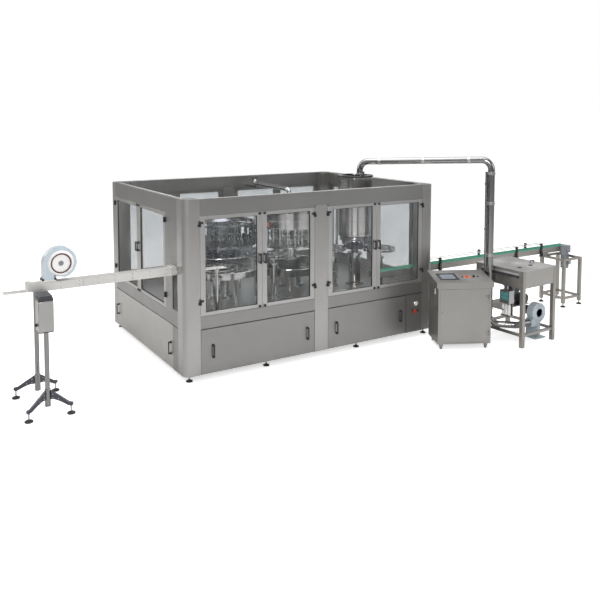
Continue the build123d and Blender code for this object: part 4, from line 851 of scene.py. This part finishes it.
def table_pieces():
    """Tube frame, skirts, hopper cone, top, shelf, control box and the cap fan's motor."""
    w, d, leg, top = TABLE_W, TABLE_D, 0.060, TABLE_H - 0.006
    tubes = [slab(u, u + leg, v, v + leg, 0, top) for u in (0, w - leg) for v in (0, d - leg)]
    tubes += [slab(u + 0.012, u + leg - 0.012, leg, d - leg, 0.160, 0.200) for u in (0, w - leg)]
    tubes += [slab(leg, w - leg, v + 0.012, v + leg - 0.012, 0.160, 0.200) for v in (0, d - leg)]
    piece("table_tubes", at_table(tubes), tube_steel, 0.003,
        stands_for=("hopper_table",))
    low = top - 0.260
    skirt = slabs((leg, w - leg, 0.004, 0.008, low, top),
        (leg, w - leg, d - 0.008, d - 0.004, low, top),
        (0.004, 0.008, leg, d - leg, low, top),
        (w - 0.008, w - 0.004, leg, d - leg, low, top),
        (0.064, w - 0.064, 0.064, d - 0.064, low + 0.004, low + 0.008),
        (leg, w - leg, 0.430, d - 0.012, 0.480, 0.490))
    piece("table_skirts", at_table(skirt), side_steel, 0.001,
        stands_for=("hopper_table",))
    cone = [turned([(0.069, low - 0.200), (0.070, low - 0.198), (0.150, low - 0.099),
                    (0.230, low)], (w / 2, d / 2 + 0.040, 0), steps=64)]
    piece("hopper_cone", at_table(cone), bright_sheet,
        stands_for=("hopper_table",))
    plates = slabs((0, w, 0, 0.300, top, TABLE_H),
        (0, w, 0.870, d, top, TABLE_H),
        (0, 0.030, 0.300, 0.870, top, TABLE_H),
        (w - 0.030, w, 0.300, 0.870, top, TABLE_H))
    piece("table_top_plates", at_table(plates), top_steel, 0.001,
        stands_for=("hopper_table",))
    slot_bar = [slab(0.0, 0.006, 0.090, 0.790, top - 0.068, top - 0.046)]
    piece("table_rail_bar", at_table(slot_bar), beam_steel,
        0.002)
    # A dark band under the rail bar stands for the inside of the slot: painted shade.
    slot_dark = [slab(0.001, 0.0045, 0.080, 0.800, top - 0.112, top - 0.070)]
    piece("table_slot", at_table(slot_dark), dark_paint, 0.001)
    clips = [slab(0.0005, 0.006, v, v + 0.026, top - 0.108, top - 0.078)
        for v in (0.140, 0.290, 0.430, 0.570, 0.700)]
    piece("table_clips", at_table(clips), maroon, 0.002)
    caps = [turned([(0.030, 0), (0.034, 0.001), (0.033, 0.005), (0.024, 0.007)], (u, v, TABLE_H),
        steps=40) for u, v in ((0.200, 0.230), (0.470, 0.240))]
    piece("table_spots", at_table(caps), black)
    box = slabs((0.073, 0.190, 0.310, 0.490, 0.590, 0.790),
        (0.070, 0.073, 0.316, 0.484, 0.596, 0.784),
        (0.100, 0.124, 0.370, 0.430, 0.790, low + 0.004))
    piece("table_control_box", at_table(box), pale_sheet, 0.004,
        stands_for=("hopper_table",))
    panel = [slab(0.0685, 0.070, 0.335, 0.465, 0.640, 0.765)]
    piece("table_teal_panel", at_table(panel), teal, 0.001)
    keys = [slab(0.0665, 0.0685, v, v + 0.018, z, z + 0.014) for v in (0.350, 0.392, 0.434)
        for z in (0.655, 0.700)]
    piece("table_keys", at_table(keys), dark_paint, 0.002)
    bottles = []
    for v in (0.345, 0.400, 0.455):
        bottles.append(turned([(0.020, 0), (0.024, 0.004), (0.024, 0.150), (0.014, 0.165),
            (0.014, 0.185)], (0.120, v, 0.405), steps=32))
    piece("table_filters", at_table(bottles), white_paint)
    bracket = slabs((0.095, 0.170, 0.312, 0.488, 0.385, 0.405),
        (0.164, 0.170, 0.312, 0.488, 0.405, 0.590))
    piece("filter_bracket", at_table(bracket), tube_steel, 0.001)
    motor = [turned([(0.060, 0), (0.078, 0.006), (0.078, 0.160), (0.070, 0.172), (0.070, 0.204),
        (0.050, 0.210)], (w - 0.150, 0.440, 0.568), (0, 1, 0), 56)]
    motor += fins(24, 0.0785, (w - 0.150, 0.440, 0.568), (0, 1, 0), 0.015, 0.160, 0.0018)
    piece("table_motor", at_table(motor), dark_paint,
        stands_for=("hopper_table",))
    bow = slabs((0.600, 0.612, 0.338, 0.354, TABLE_H, TABLE_H + 0.040),
        (0.688, 0.700, 0.338, 0.354, TABLE_H, TABLE_H + 0.040),
        (0.600, 0.700, 0.337, 0.355, TABLE_H + 0.030, TABLE_H + 0.044))
    piece("lid_bow", at_table(bow), black, 0.005,
        body="hopper_lid")


# ---------------------------------------------------------------- outfeed conveyor

LANE_Y, LANE_HALF, LANE_TOP = 0.330, 0.080, 1.050
DRIVE_X = 7.650
BRACKETS = ((4.580, -1), (5.650, 1), (6.400, -1), (6.830, 1), (7.050, -1))


def slat_parts():
    """Flat-top slats at an even pitch, square at their ends."""
    x0, x1 = plan("conveyor_chain")[:2]
    pitch = 0.038
    half = LANE_HALF - 0.010
    count = int((x1 - x0) / pitch)
    return [slab(a + 0.001, a + pitch - 0.0012, LANE_Y - half, LANE_Y + half, LANE_TOP - 0.0045,
                 LANE_TOP) for a in x0 + np.arange(count) * pitch]


def conveyor_pieces():
    """Slats over their links, edge wear strips, bed bolts, black brackets and slim rails."""
    x0, x1 = plan("conveyor_chain")[:2]
    piece("lane_slats", slat_parts(), slat_green, 0.0008,
        stands_for=("conveyor_chain",))
    links = [slab(x0, x1 - 0.004, LANE_Y - 0.030, LANE_Y + 0.030, LANE_TOP - 0.012,
        LANE_TOP - 0.0047)]
    piece("lane_links", links, dark_paint, stands_for=("conveyor_chain",))
    strips = [slab(x0, x1 + 0.012,
                   LANE_Y + side * 0.0755 - 0.0025, LANE_Y + side * 0.0755 + 0.0025,
                   LANE_TOP - 0.0085, LANE_TOP + 0.0005) for side in (-1, 1)]
    piece("lane_edges", strips, teal, 0.0008)
    bolts = []
    for x, side in BRACKETS:
        face = LANE_Y + side * (LANE_HALF + 0.026)
        for height in (LANE_TOP - 0.060, LANE_TOP - 0.020, LANE_TOP + 0.068):
            bolts.append(turned([(0.006, 0), (0.009, 0.001), (0.009, 0.005), (0.006, 0.008)],
                                (x, face, height), (0, side, 0), 6))
    for x in np.arange(3.60, 7.45, 0.45):
        for side in (-1, 1):
            bolts.append(turned([(0.006, 0), (0.0085, 0.001), (0.006, 0.004)],
                                (x, LANE_Y + side * LANE_HALF, 0.975), (0, side, 0), 16))
    piece("lane_bolts", bolts, chrome)
    brackets = []
    for x, side in BRACKETS:
        face = sorted((LANE_Y + side * LANE_HALF, LANE_Y + side * (LANE_HALF + 0.050)))
        brackets.append(slab(x - 0.030, x + 0.010, face[0], face[1], 0.905, 0.965))
        brackets.append(slab(x - 0.060, x - 0.020, face[0], face[1], 0.905, 0.925))
        face = sorted((LANE_Y + side * LANE_HALF, LANE_Y + side * (LANE_HALF + 0.026)))
        brackets.append(slab(x - 0.022, x + 0.022, face[0], face[1],
                             LANE_TOP - 0.090, LANE_TOP + 0.090))
        face = sorted((LANE_Y + side * (LANE_HALF - 0.024), LANE_Y + side * LANE_HALF))
        brackets.append(slab(x - 0.014, x + 0.014, face[0], face[1],
                             LANE_TOP + 0.056, LANE_TOP + 0.080))
    piece("lane_brackets", brackets, black, 0.004, stands_for=("conveyor_rails",))
    rails = [rod((4.340, LANE_Y + side * 0.048, LANE_TOP + 0.068),
        (7.200, LANE_Y + side * 0.048, LANE_TOP + 0.068), 0.006, 16) for side in (-1, 1)]
    piece("lane_rails", rails, beam_steel, stands_for=("conveyor_rails",))


def end_frame_pieces():
    """Square tubes of the end frame, its top brackets, rubber feet and threaded rods."""
    x0, x1, y0, y1 = 7.260, 7.760, -0.100, 0.440
    leg = 0.055
    xs, ys = (x0, x1 - leg), (y0, y1 - leg)
    tubes, feet, rods = [], [], []
    for x in xs:
        for y in ys:
            tubes.append(slab(x, x + leg, y, y + leg, 0.070, 0.880))
            centre = (x + leg / 2, y + leg / 2)
            feet.append(turned([(0.043, 0), (0.046, 0.003), (0.046, 0.012), (0.036, 0.017),
                                (0.022, 0.024), (0.014, 0.030)], (centre[0], centre[1], 0)))
            rods.append(rod((centre[0], centre[1], 0.028), (centre[0], centre[1], 0.072), 0.010))
            rods.append(turned([(0.014, 0), (0.018, 0.002), (0.018, 0.010), (0.014, 0.012)],
                               (centre[0], centre[1], 0.056), steps=6))
        for z in (0.140, 0.840):
            tubes.append(slab(x + 0.008, x + leg - 0.008, ys[0] + leg, ys[1], z, z + 0.040))
        tubes.append(slab(x + 0.008, x + leg - 0.008, 0.290, 0.370, 0.880, 0.945))
    for y in ys:
        for z in (0.140, 0.840):
            tubes.append(slab(xs[0] + leg, xs[1], y + 0.008, y + leg - 0.008, z, z + 0.040))
    piece("end_frame_tubes", tubes, tube_steel, 0.004,
        stands_for=("conveyor_stand",))
    piece("end_frame_feet", feet, rubber, stands_for=("conveyor_stand",))
    piece("end_frame_rods", rods, chrome, stands_for=("conveyor_stand",))


def drive_pieces():
    """Worm gearbox, finned motor, fan cover and terminal box at the discharge end."""
    y = LANE_Y - LANE_HALF
    box = [slab(DRIVE_X - 0.070, DRIVE_X + 0.070, y - 0.126, y - 0.004, 0.930, 1.060),
           turned([(0.050, 0), (0.058, 0.003), (0.058, 0.012), (0.046, 0.016)],
                  (DRIVE_X, y - 0.124, 0.995), (0, -1, 0), 40),
           turned([(0.060, 0), (0.062, 0.003), (0.062, 0.020), (0.074, 0.026)],
                  (DRIVE_X - 0.020, y - 0.070, 0.930), (0, 0, -1), 48)]
    ear = [slab(DRIVE_X - 0.060, DRIVE_X - 0.020, y - 0.004, y, 0.930, 1.036)]
    piece("gearbox_shell", box + ear, motor_paint, 0.006,
        stands_for=("conveyor_drive",))
    motor = [turned([(0.060, 0.640), (0.072, 0.646), (0.073, 0.700), (0.069, 0.704),
                     (0.069, 0.890), (0.073, 0.894), (0.074, 0.906)],
                    (DRIVE_X - 0.020, y - 0.070, 0), steps=64)]
    motor += fins(36, 0.0715, (DRIVE_X - 0.020, y - 0.070, 0), (0, 0, 1), 0.706, 0.888, 0.0022)
    piece("drive_motor", motor, motor_paint, stands_for=("conveyor_drive",))
    terminal = slabs((DRIVE_X + 0.048, DRIVE_X + 0.114, y - 0.110, y - 0.020, 0.700, 0.800),
        (DRIVE_X + 0.114, DRIVE_X + 0.120, y - 0.108, y - 0.022, 0.703, 0.797))
    piece("drive_terminal", terminal, pale_sheet, 0.003,
        stands_for=("conveyor_drive",))
    dark = [slab(DRIVE_X + 0.070, DRIVE_X + 0.076, y - 0.105, y - 0.030, 0.950, 1.040),
            turned([(0.008, 0), (0.012, 0.002), (0.012, 0.016), (0.008, 0.020)],
                   (DRIVE_X + 0.081, y - 0.064, 0.700), (0, 0, -1), 20)]
    piece("drive_dark_bits", dark, black, 0.002)


# ---------------------------------------------------------------- cap lift and tower

RISER = (4.728, -0.700)
PIPE_GRIP = 0.0512
TOWER = (3.400, 1.000)
DRUM_SKIN = 0.2802


def lift_pieces():
    """Drum fan with folded rims, inlet dish, outlet, foot and finned motor for the cap lift."""
    x, y, z = 5.450, -1.000, 0.400
    shell = [turned([(0.146, 0), (0.150, 0.002), (0.150, 0.118), (0.146, 0.120)],
                    (x, y - 0.060, z), (0, 1, 0), 72),
             hoop(0.149, 0.003, (x, y - 0.056, z), (0, 1, 0), 72, 8),
             hoop(0.149, 0.003, (x, y + 0.056, z), (0, 1, 0), 72, 8),
             turned([(0.122, 0), (0.118, 0.006), (0.080, 0.010), (0.066, 0.006), (0.064, -0.004)],
                    (x, y - 0.060, z), (0, -1, 0), 60)]
    shell += slabs((5.290, 5.450, y - 0.057, y + 0.057, 0.198, 0.312),
        (x - 0.110, x + 0.128, y - 0.090, y + 0.200, 0, 0.014),
        (5.440, 5.496, y - 0.048, y + 0.186, 0.014, 0.270))
    piece("lift_fan_shell", shell, scroll_paint, 0.002,
        stands_for=("lift_blower",))
    motor = [turned([(0.066, 0), (0.070, 0.004), (0.068, 0.140), (0.062, 0.150), (0.062, 0.165),
        (0.040, 0.170)], (x, y + 0.060, z), (0, 1, 0), 48)]
    motor += fins(22, 0.0685, (x, y, z), (0, 1, 0), 0.075, 0.195, 0.0018)
    piece("lift_fan_motor", motor, dark_paint, stands_for=("lift_blower",))


def pipe_trim():
    """Couplings and clamps along the cap pipe, and the clips to its support tube."""
    x, y = RISER
    bands, clips = [], []
    for height in (0.480, 1.300, 2.100, 2.560):
        bands.append(turned([(PIPE_GRIP, 0), (0.0565, 0.002), (0.0565, 0.046), (PIPE_GRIP, 0.048)],
            (x, y, height), steps=56))
        bands.append(slab(x - 0.012, x + 0.012, y - 0.070, y - 0.052,
                          height + 0.010, height + 0.038))
    tower_x, tower_y = TOWER[0] + 0.090, TOWER[1] - 0.010
    start, end = np.array([x, y, 2.790]), np.array([tower_x, tower_y, 2.715])
    along = (end - start) / np.linalg.norm(end - start)
    for share in (0.16, 0.50, 0.84):
        place = start + (end - start) * share
        bands.append(turned([(PIPE_GRIP, -0.024), (0.0545, -0.022), (0.0545, 0.022),
                             (PIPE_GRIP, 0.024)], place, along, 56))
    bands.append(turned([(PIPE_GRIP, 0), (0.0600, 0.002), (0.0600, 0.020), (PIPE_GRIP, 0.022)],
                        (tower_x, tower_y, 2.500), steps=56))
    piece("pipe_couplings", bands, pale_sheet, 0.001)
    for height in (0.900, 1.700, 2.400):
        clips.append(slab(x - 0.028, x + 0.012, y + 0.046, y + 0.106, height, height + 0.030))
    piece("pipe_clips", clips, black, 0.003)


def tower_pieces():
    """Rolled black rim of the cap sorter's lid, bands round its drum and valve bits on top."""
    x, y = TOWER
    lid = [turned([(0.200, 2.5000), (0.2925, 2.4995), (0.2935, 2.492), (0.2935, 2.476),
        (0.290, 2.470), (0.281, 2.470)], (x, y, 0), steps=96)]
    piece("sorter_lid_rim", [(lid[0][0], [face[::-1] for face in lid[0][1]])], black)
    bands = [turned([(DRUM_SKIN, low), (0.2888, low + 0.001), (0.2888, low + 0.030),
        (DRUM_SKIN, low + 0.031)], (x, y, 0), steps=96) for low in (1.550, 2.025)]
    bands += [turned([(DRUM_SKIN, low), (0.2825, low + 0.001), (0.2825, low + 0.006),
        (DRUM_SKIN, low + 0.007)], (x, y, 0), steps=96) for low in (1.760, 2.240)]
    piece("sorter_bands", bands, chrome)
    bits = [rod((x + 0.030, y - 0.190, 2.500), (x + 0.030, y - 0.190, 2.545), 0.012),
            turned([(0.016, 0), (0.020, 0.002), (0.020, 0.012), (0.014, 0.018)],
                   (x + 0.030, y - 0.190, 2.545), steps=6),
            rod((x + 0.170, y + 0.050, 2.500), (x + 0.170, y + 0.050, 2.530), 0.020)]
    piece("sorter_valves", bits, black)


# ---------------------------------------------------------------- turrets inside the guard

RINSER, FILLER, CAPPER = (1.150, 1.400), (2.450, 1.500), (3.400, 1.000)
GRIPPERS, VALVES, HEADS = 32, 26, 10
VALVE_RADIUS = 0.4875


def ring_of(part, centre, count, start=0.0):
    """Copies of a part made round the origin, evenly turned and carried to a centre."""
    return [moved(part, start + TURN * step / count, (centre[0], centre[1], 0))
        for step in range(count)]


def rinser_pieces():
    """Gripper bodies, rollers and jaws, spray tips, hoses and rims of the rinsing carousel."""
    body = slabs((0.540, 0.620, -0.013, 0.013, 1.562, 1.598),
        (0.602, 0.638, -0.021, 0.021, 1.572, 1.758))
    bodies = [copy for part in body for copy in ring_of(part, RINSER, GRIPPERS)]
    piece("gripper_bodies", bodies, band_black, 0.003, body="rinser",
        stands_for=("rinser_grippers",))
    jaw = [slab(0.638, 0.684, -0.026, -0.013, 1.682, 1.708),
           slab(0.638, 0.684, 0.013, 0.026, 1.682, 1.708),
           turned([(0.010, 0), (0.012, 0.001), (0.012, 0.012), (0.010, 0.013)],
                  (0.622, 0, 1.7585), steps=12)]
    jaws = [copy for part in jaw for copy in ring_of(part, RINSER, GRIPPERS)]
    piece("gripper_jaws", jaws, chrome, 0.002, body="rinser",
        stands_for=("rinser_grippers",))
    tip = turned([(0.005, 1.404), (0.010, 1.406), (0.010, 1.430), (0.004, 1.452)],
                 (0.560, 0, 0), steps=12)
    piece("spray_tips", ring_of(tip, RINSER, GRIPPERS), chrome, body="rinser")
    hoses = ring_of(rod((0.200, 0, 1.880), (0.520, 0, 1.868), 0.007, 10), RINSER, 16, 0.1)
    piece("water_hoses", hoses, rubber, body="rinser")
    rims = [hoop(0.588, 0.006, (RINSER[0], RINSER[1], 1.392), steps=120, sides=10),
            hoop(0.678, 0.006, (RINSER[0], RINSER[1], 1.190), steps=120, sides=10)]
    piece("rinser_table_rim", rims[:1], chrome, body="rinser")
    piece("rinser_trough_rim", rims[1:], chrome)


def filler_pieces():
    """Valve bells and rollers round the filling tank, its bands and clamps, and deck pipes."""
    x, y = FILLER
    valve = turned([(0.012, 1.425), (0.020, 1.426), (0.034, 1.455), (0.034, 1.498),
                    (0.026, 1.504), (0.026, 1.600), (0.038, 1.604), (0.038, 1.626),
                    (0.026, 1.630), (0.026, 1.690)], (VALVE_RADIUS, 0, 0), steps=24)
    piece("valve_bodies", ring_of(valve, FILLER, VALVES), chrome, body="filler",
        stands_for=("filler_valves",))
    roller = [slab(0.508, 0.538, -0.009, 0.009, 1.566, 1.584),
        turned([(0.010, 0), (0.012, 0.001), (0.012, 0.014), (0.010, 0.015)],
               (0.532, 0, 1.575), (1, 0, 0), 16)]
    rollers = [copy for part in roller for copy in ring_of(part, FILLER, VALVES)]
    piece("valve_rollers", rollers, black, 0.001, body="filler",
        stands_for=("filler_valves",))
    bands = [hoop(0.5755, 0.005, (x, y, height), steps=128, sides=10)
        for height in (1.705, 1.820, 1.945)]
    piece("tank_bands", bands, chrome, body="filler")
    clamp = slab(0.560, 0.592, -0.014, 0.014, 1.950, 1.984)
    piece("tank_clamps", ring_of(clamp, FILLER, 12), black, 0.003, body="filler")
    sight = slab(0.5735, 0.5785, -0.030, 0.030, 1.730, 1.800)
    piece("tank_sights", ring_of(sight, FILLER, 4, 0.4), orange, 0.002,
        body="filler")
    rims = [hoop(0.588, 0.006, (x, y, 1.070), steps=120, sides=10)]
    piece("filler_tray_rim", rims, chrome)
    # Pipes on the deck between the turrets
    parts = [rod((1.85, 0.85, 0.735), (2.05, 0.42, 0.735), 0.016),
        rod((2.95, 0.62, 0.735), (2.30, 0.62, 0.735), 0.016),
        rod((3.05, 0.62, 0.735), (3.05, 0.62, 1.060), 0.018),
        rod((2.20, 0.42, 0.712), (2.20, 0.42, 1.150), 0.022),
        rod((1.60, 0.52, 0.712), (1.60, 0.52, 1.250), 0.022)]
    piece("deck_pipes", parts, chrome)


def capper_pieces():
    """Torque heads with their height nuts, and the rims of the carrier that holds them."""
    radius = pitch_of(HEADS)
    head = turned([(0.016, 1.370), (0.020, 1.371), (0.030, 1.400), (0.030, 1.412), (0.0285, 1.414),
        (0.0285, 1.428), (0.030, 1.430), (0.030, 1.440)], (radius, 0, 0), steps=28)
    piece("torque_heads", ring_of(head, CAPPER, HEADS, math.radians(18)), chrome,
        body="capper")
    nut = turned([(0.016, 1.505), (0.022, 1.507), (0.022, 1.5165), (0.018, 1.5185)],
                 (radius, 0, 0), steps=6)
    piece("head_nuts", ring_of(nut, CAPPER, HEADS, math.radians(18)), black,
        body="capper")
    grooves = [hoop(0.2450, 0.004, (CAPPER[0], CAPPER[1], height), steps=96, sides=10)
        for height in (1.446, 1.472, 1.499)]
    piece("carrier_rims", grooves, bright_sheet, body="capper")


def pitch_of(stations):
    """Pitch radius of a wheel with the line's common station spacing."""
    return VALVE_RADIUS / VALVES * stations


def star_pieces():
    """Clamp knobs and bolts of the star wheels, and the collars of their pedestals."""
    collars = []
    for name in ("infeed_star", "transfer_star", "capper_star", "discharge_star"):
        x0, x1, y0, y1 = plan(name)[:4]
        x, y = (x0 + x1) / 2, (y0 + y1) / 2
        collars.append(hoop(0.0725, 0.005, (x, y, 1.195), steps=48, sides=10))
        collars.append(hoop(0.060, 0.005, (x, y, 0.960), steps=48, sides=10))
        knob = [turned([(0.020, 1.376), (0.030, 1.378), (0.032, 1.392), (0.024, 1.400)],
                       (x, y, 0), steps=24)]
        bolts = [turned([(0.006, 1.352), (0.009, 1.3525), (0.009, 1.360), (0.006, 1.362)],
                        (x + 0.048 * math.cos(a), y + 0.048 * math.sin(a), 0), steps=6)
                 for a in np.arange(6) * TURN / 6]
        piece(name + "_knob", knob, black, body=name)
        piece(name + "_bolts", bolts, chrome, body=name)
    piece("pedestal_collars", collars, bright_sheet)


# ---------------------------------------------------------------- stage, light and camera

def pale_floor_material():
    """Plain pale floor, lifted a little where it is looked at straight on."""
    material = bpy.data.materials.new("pale_floor")
    material.use_nodes = True
    tree = material.node_tree
    surface = tree.nodes["Principled BSDF"]
    surface.inputs["Base Color"].default_value = (0.80, 0.80, 0.80, 1)
    surface.inputs["Roughness"].default_value = 0.95
    surface.inputs["Specular IOR Level"].default_value = 0.1
    surface.inputs["Emission Color"].default_value = (1, 1, 1, 1)
    path = tree.nodes.new("ShaderNodeLightPath")
    lift = maths(tree, "MULTIPLY", path.outputs["Is Camera Ray"], 0.62)
    tree.links.new(lift, surface.inputs["Emission Strength"])
    return material


def stage():
    """Plain pale floor, soft lights overhead and to the sides, pale surroundings."""
    size = 60.0
    mesh = bpy.data.meshes.new("floor")
    points = [(-size, -size, -0.002), (size, -size, -0.002), (size, size, -0.002),
        (-size, size, -0.002)]
    mesh.from_pydata(points, [], [(0, 1, 2, 3)])
    floor = bpy.data.objects.new("floor", mesh)
    mesh.materials.append(pale_floor_material())
    bpy.context.scene.collection.objects.link(floor)
    for name, place, aim, wide, power, tone in (
            ("key_light", (-8.0, -11.0, 7.0), (0, 0, 1.0), 3.0, 620, (1, 0.98, 0.96)),
            ("fill_light", (9.0, -9.0, 6.0), (1, 0, 1.0), 6.0, 260, (0.97, 0.98, 1)),
            ("top_light", (0.5, 0.5, 9.5), (0.5, 0.5, 0), 9.0, 760, (1, 1, 1)),
            ("back_light", (-9.0, 9.0, 6.0), (0, 0, 1.5), 6.0, 420, (1, 0.98, 0.96)),
            ("inside_light", (-0.6, -0.1, 3.6), (-0.6, 0.0, 0), 3.4, 36, (1, 1, 1))):
        light = bpy.data.lights.new(name, "AREA")
        light.shape = "SQUARE"
        light.size = wide
        light.energy = power
        light.color = tone
        lamp = bpy.data.objects.new(name, light)
        bpy.context.scene.collection.objects.link(lamp)
        lamp.location = place
        step = np.array(aim, float) - np.array(place, float)
        flat = math.hypot(step[0], step[1])
        lamp.rotation_euler = (math.atan2(flat, -step[2]), 0, math.atan2(-step[0], step[1]))
    world = bpy.data.worlds.new("surroundings")
    bpy.context.scene.world = world
    world.use_nodes = True
    tree = world.node_tree
    soft = tree.nodes["Background"]
    soft.inputs["Strength"].default_value = 0.62
    way = tree.nodes.new("ShaderNodeTexCoord")
    parts = tree.nodes.new("ShaderNodeSeparateXYZ")
    tree.links.new(way.outputs["Generated"], parts.inputs["Vector"])
    ramp = tree.nodes.new("ShaderNodeValToRGB")
    stops = ramp.color_ramp.elements
    stops[0].position, stops[0].color = 0.0, (0.30, 0.30, 0.31, 1)
    stops[1].position, stops[1].color = 1.0, (1.0, 1.0, 1.0, 1)
    for position, level in ((0.10, 0.42), (0.26, 0.78), (0.50, 0.66)):
        stop = stops.new(position)
        stop.color = (level, level, level * 1.01, 1)
    tree.links.new(parts.outputs["Z"], ramp.inputs["Fac"])
    tree.links.new(ramp.outputs["Color"], soft.inputs["Color"])
    plain = tree.nodes.new("ShaderNodeBackground")
    plain.inputs["Color"].default_value = (1, 1, 1, 1)
    plain.inputs["Strength"].default_value = 1.0
    path = tree.nodes.new("ShaderNodeLightPath")
    pick = tree.nodes.new("ShaderNodeMixShader")
    tree.links.new(path.outputs["Is Camera Ray"], pick.inputs["Fac"])
    tree.links.new(soft.outputs["Background"], pick.inputs[1])
    tree.links.new(plain.outputs["Background"], pick.inputs[2])
    tree.links.new(pick.outputs["Shader"], tree.nodes["World Output"].inputs["Surface"])


def camera():
    """Plain view transform and a high camera off the infeed corner, tilted slightly down."""
    bpy.context.scene.view_settings.view_transform = "Standard"
    data = bpy.data.cameras.new("camera")
    data.lens = 42.35
    data.sensor_width = 36.0
    data.shift_y = -0.2224
    data.clip_end = 200
    view = bpy.data.objects.new("camera", data)
    bpy.context.scene.collection.objects.link(view)
    view.location = ORIGIN + np.array([-3.379, -8.307, 3.437])
    view.rotation_euler = (math.radians(86.0), 0, math.radians(-31.6))
    bpy.context.scene.camera = view


stage()
camera()
dress_frame_nodes()
for door_name in DOORS:
    door_pieces(door_name)
panel_pieces("front_panel_left", *plan("front_panel_left")[:2], (0.400, 1.857))
panel_pieces("front_panel_right", *plan("front_panel_right")[:2], (2.356, 3.550))
side_near, side_far = plan("side_panel")[2:4]
panel_pieces("side_panel", side_near, side_far, (side_near + 0.080, side_far - 0.080), True)
housing_trim()
feet_pieces()
gauge_pieces()
stand_pieces()
fan_pieces()
beam_trim()
console_pieces()
table_pieces()
conveyor_pieces()
end_frame_pieces()
drive_pieces()
lift_pieces()
pipe_trim()
tower_pieces()
rinser_pieces()
filler_pieces()
capper_pieces()
star_pieces()
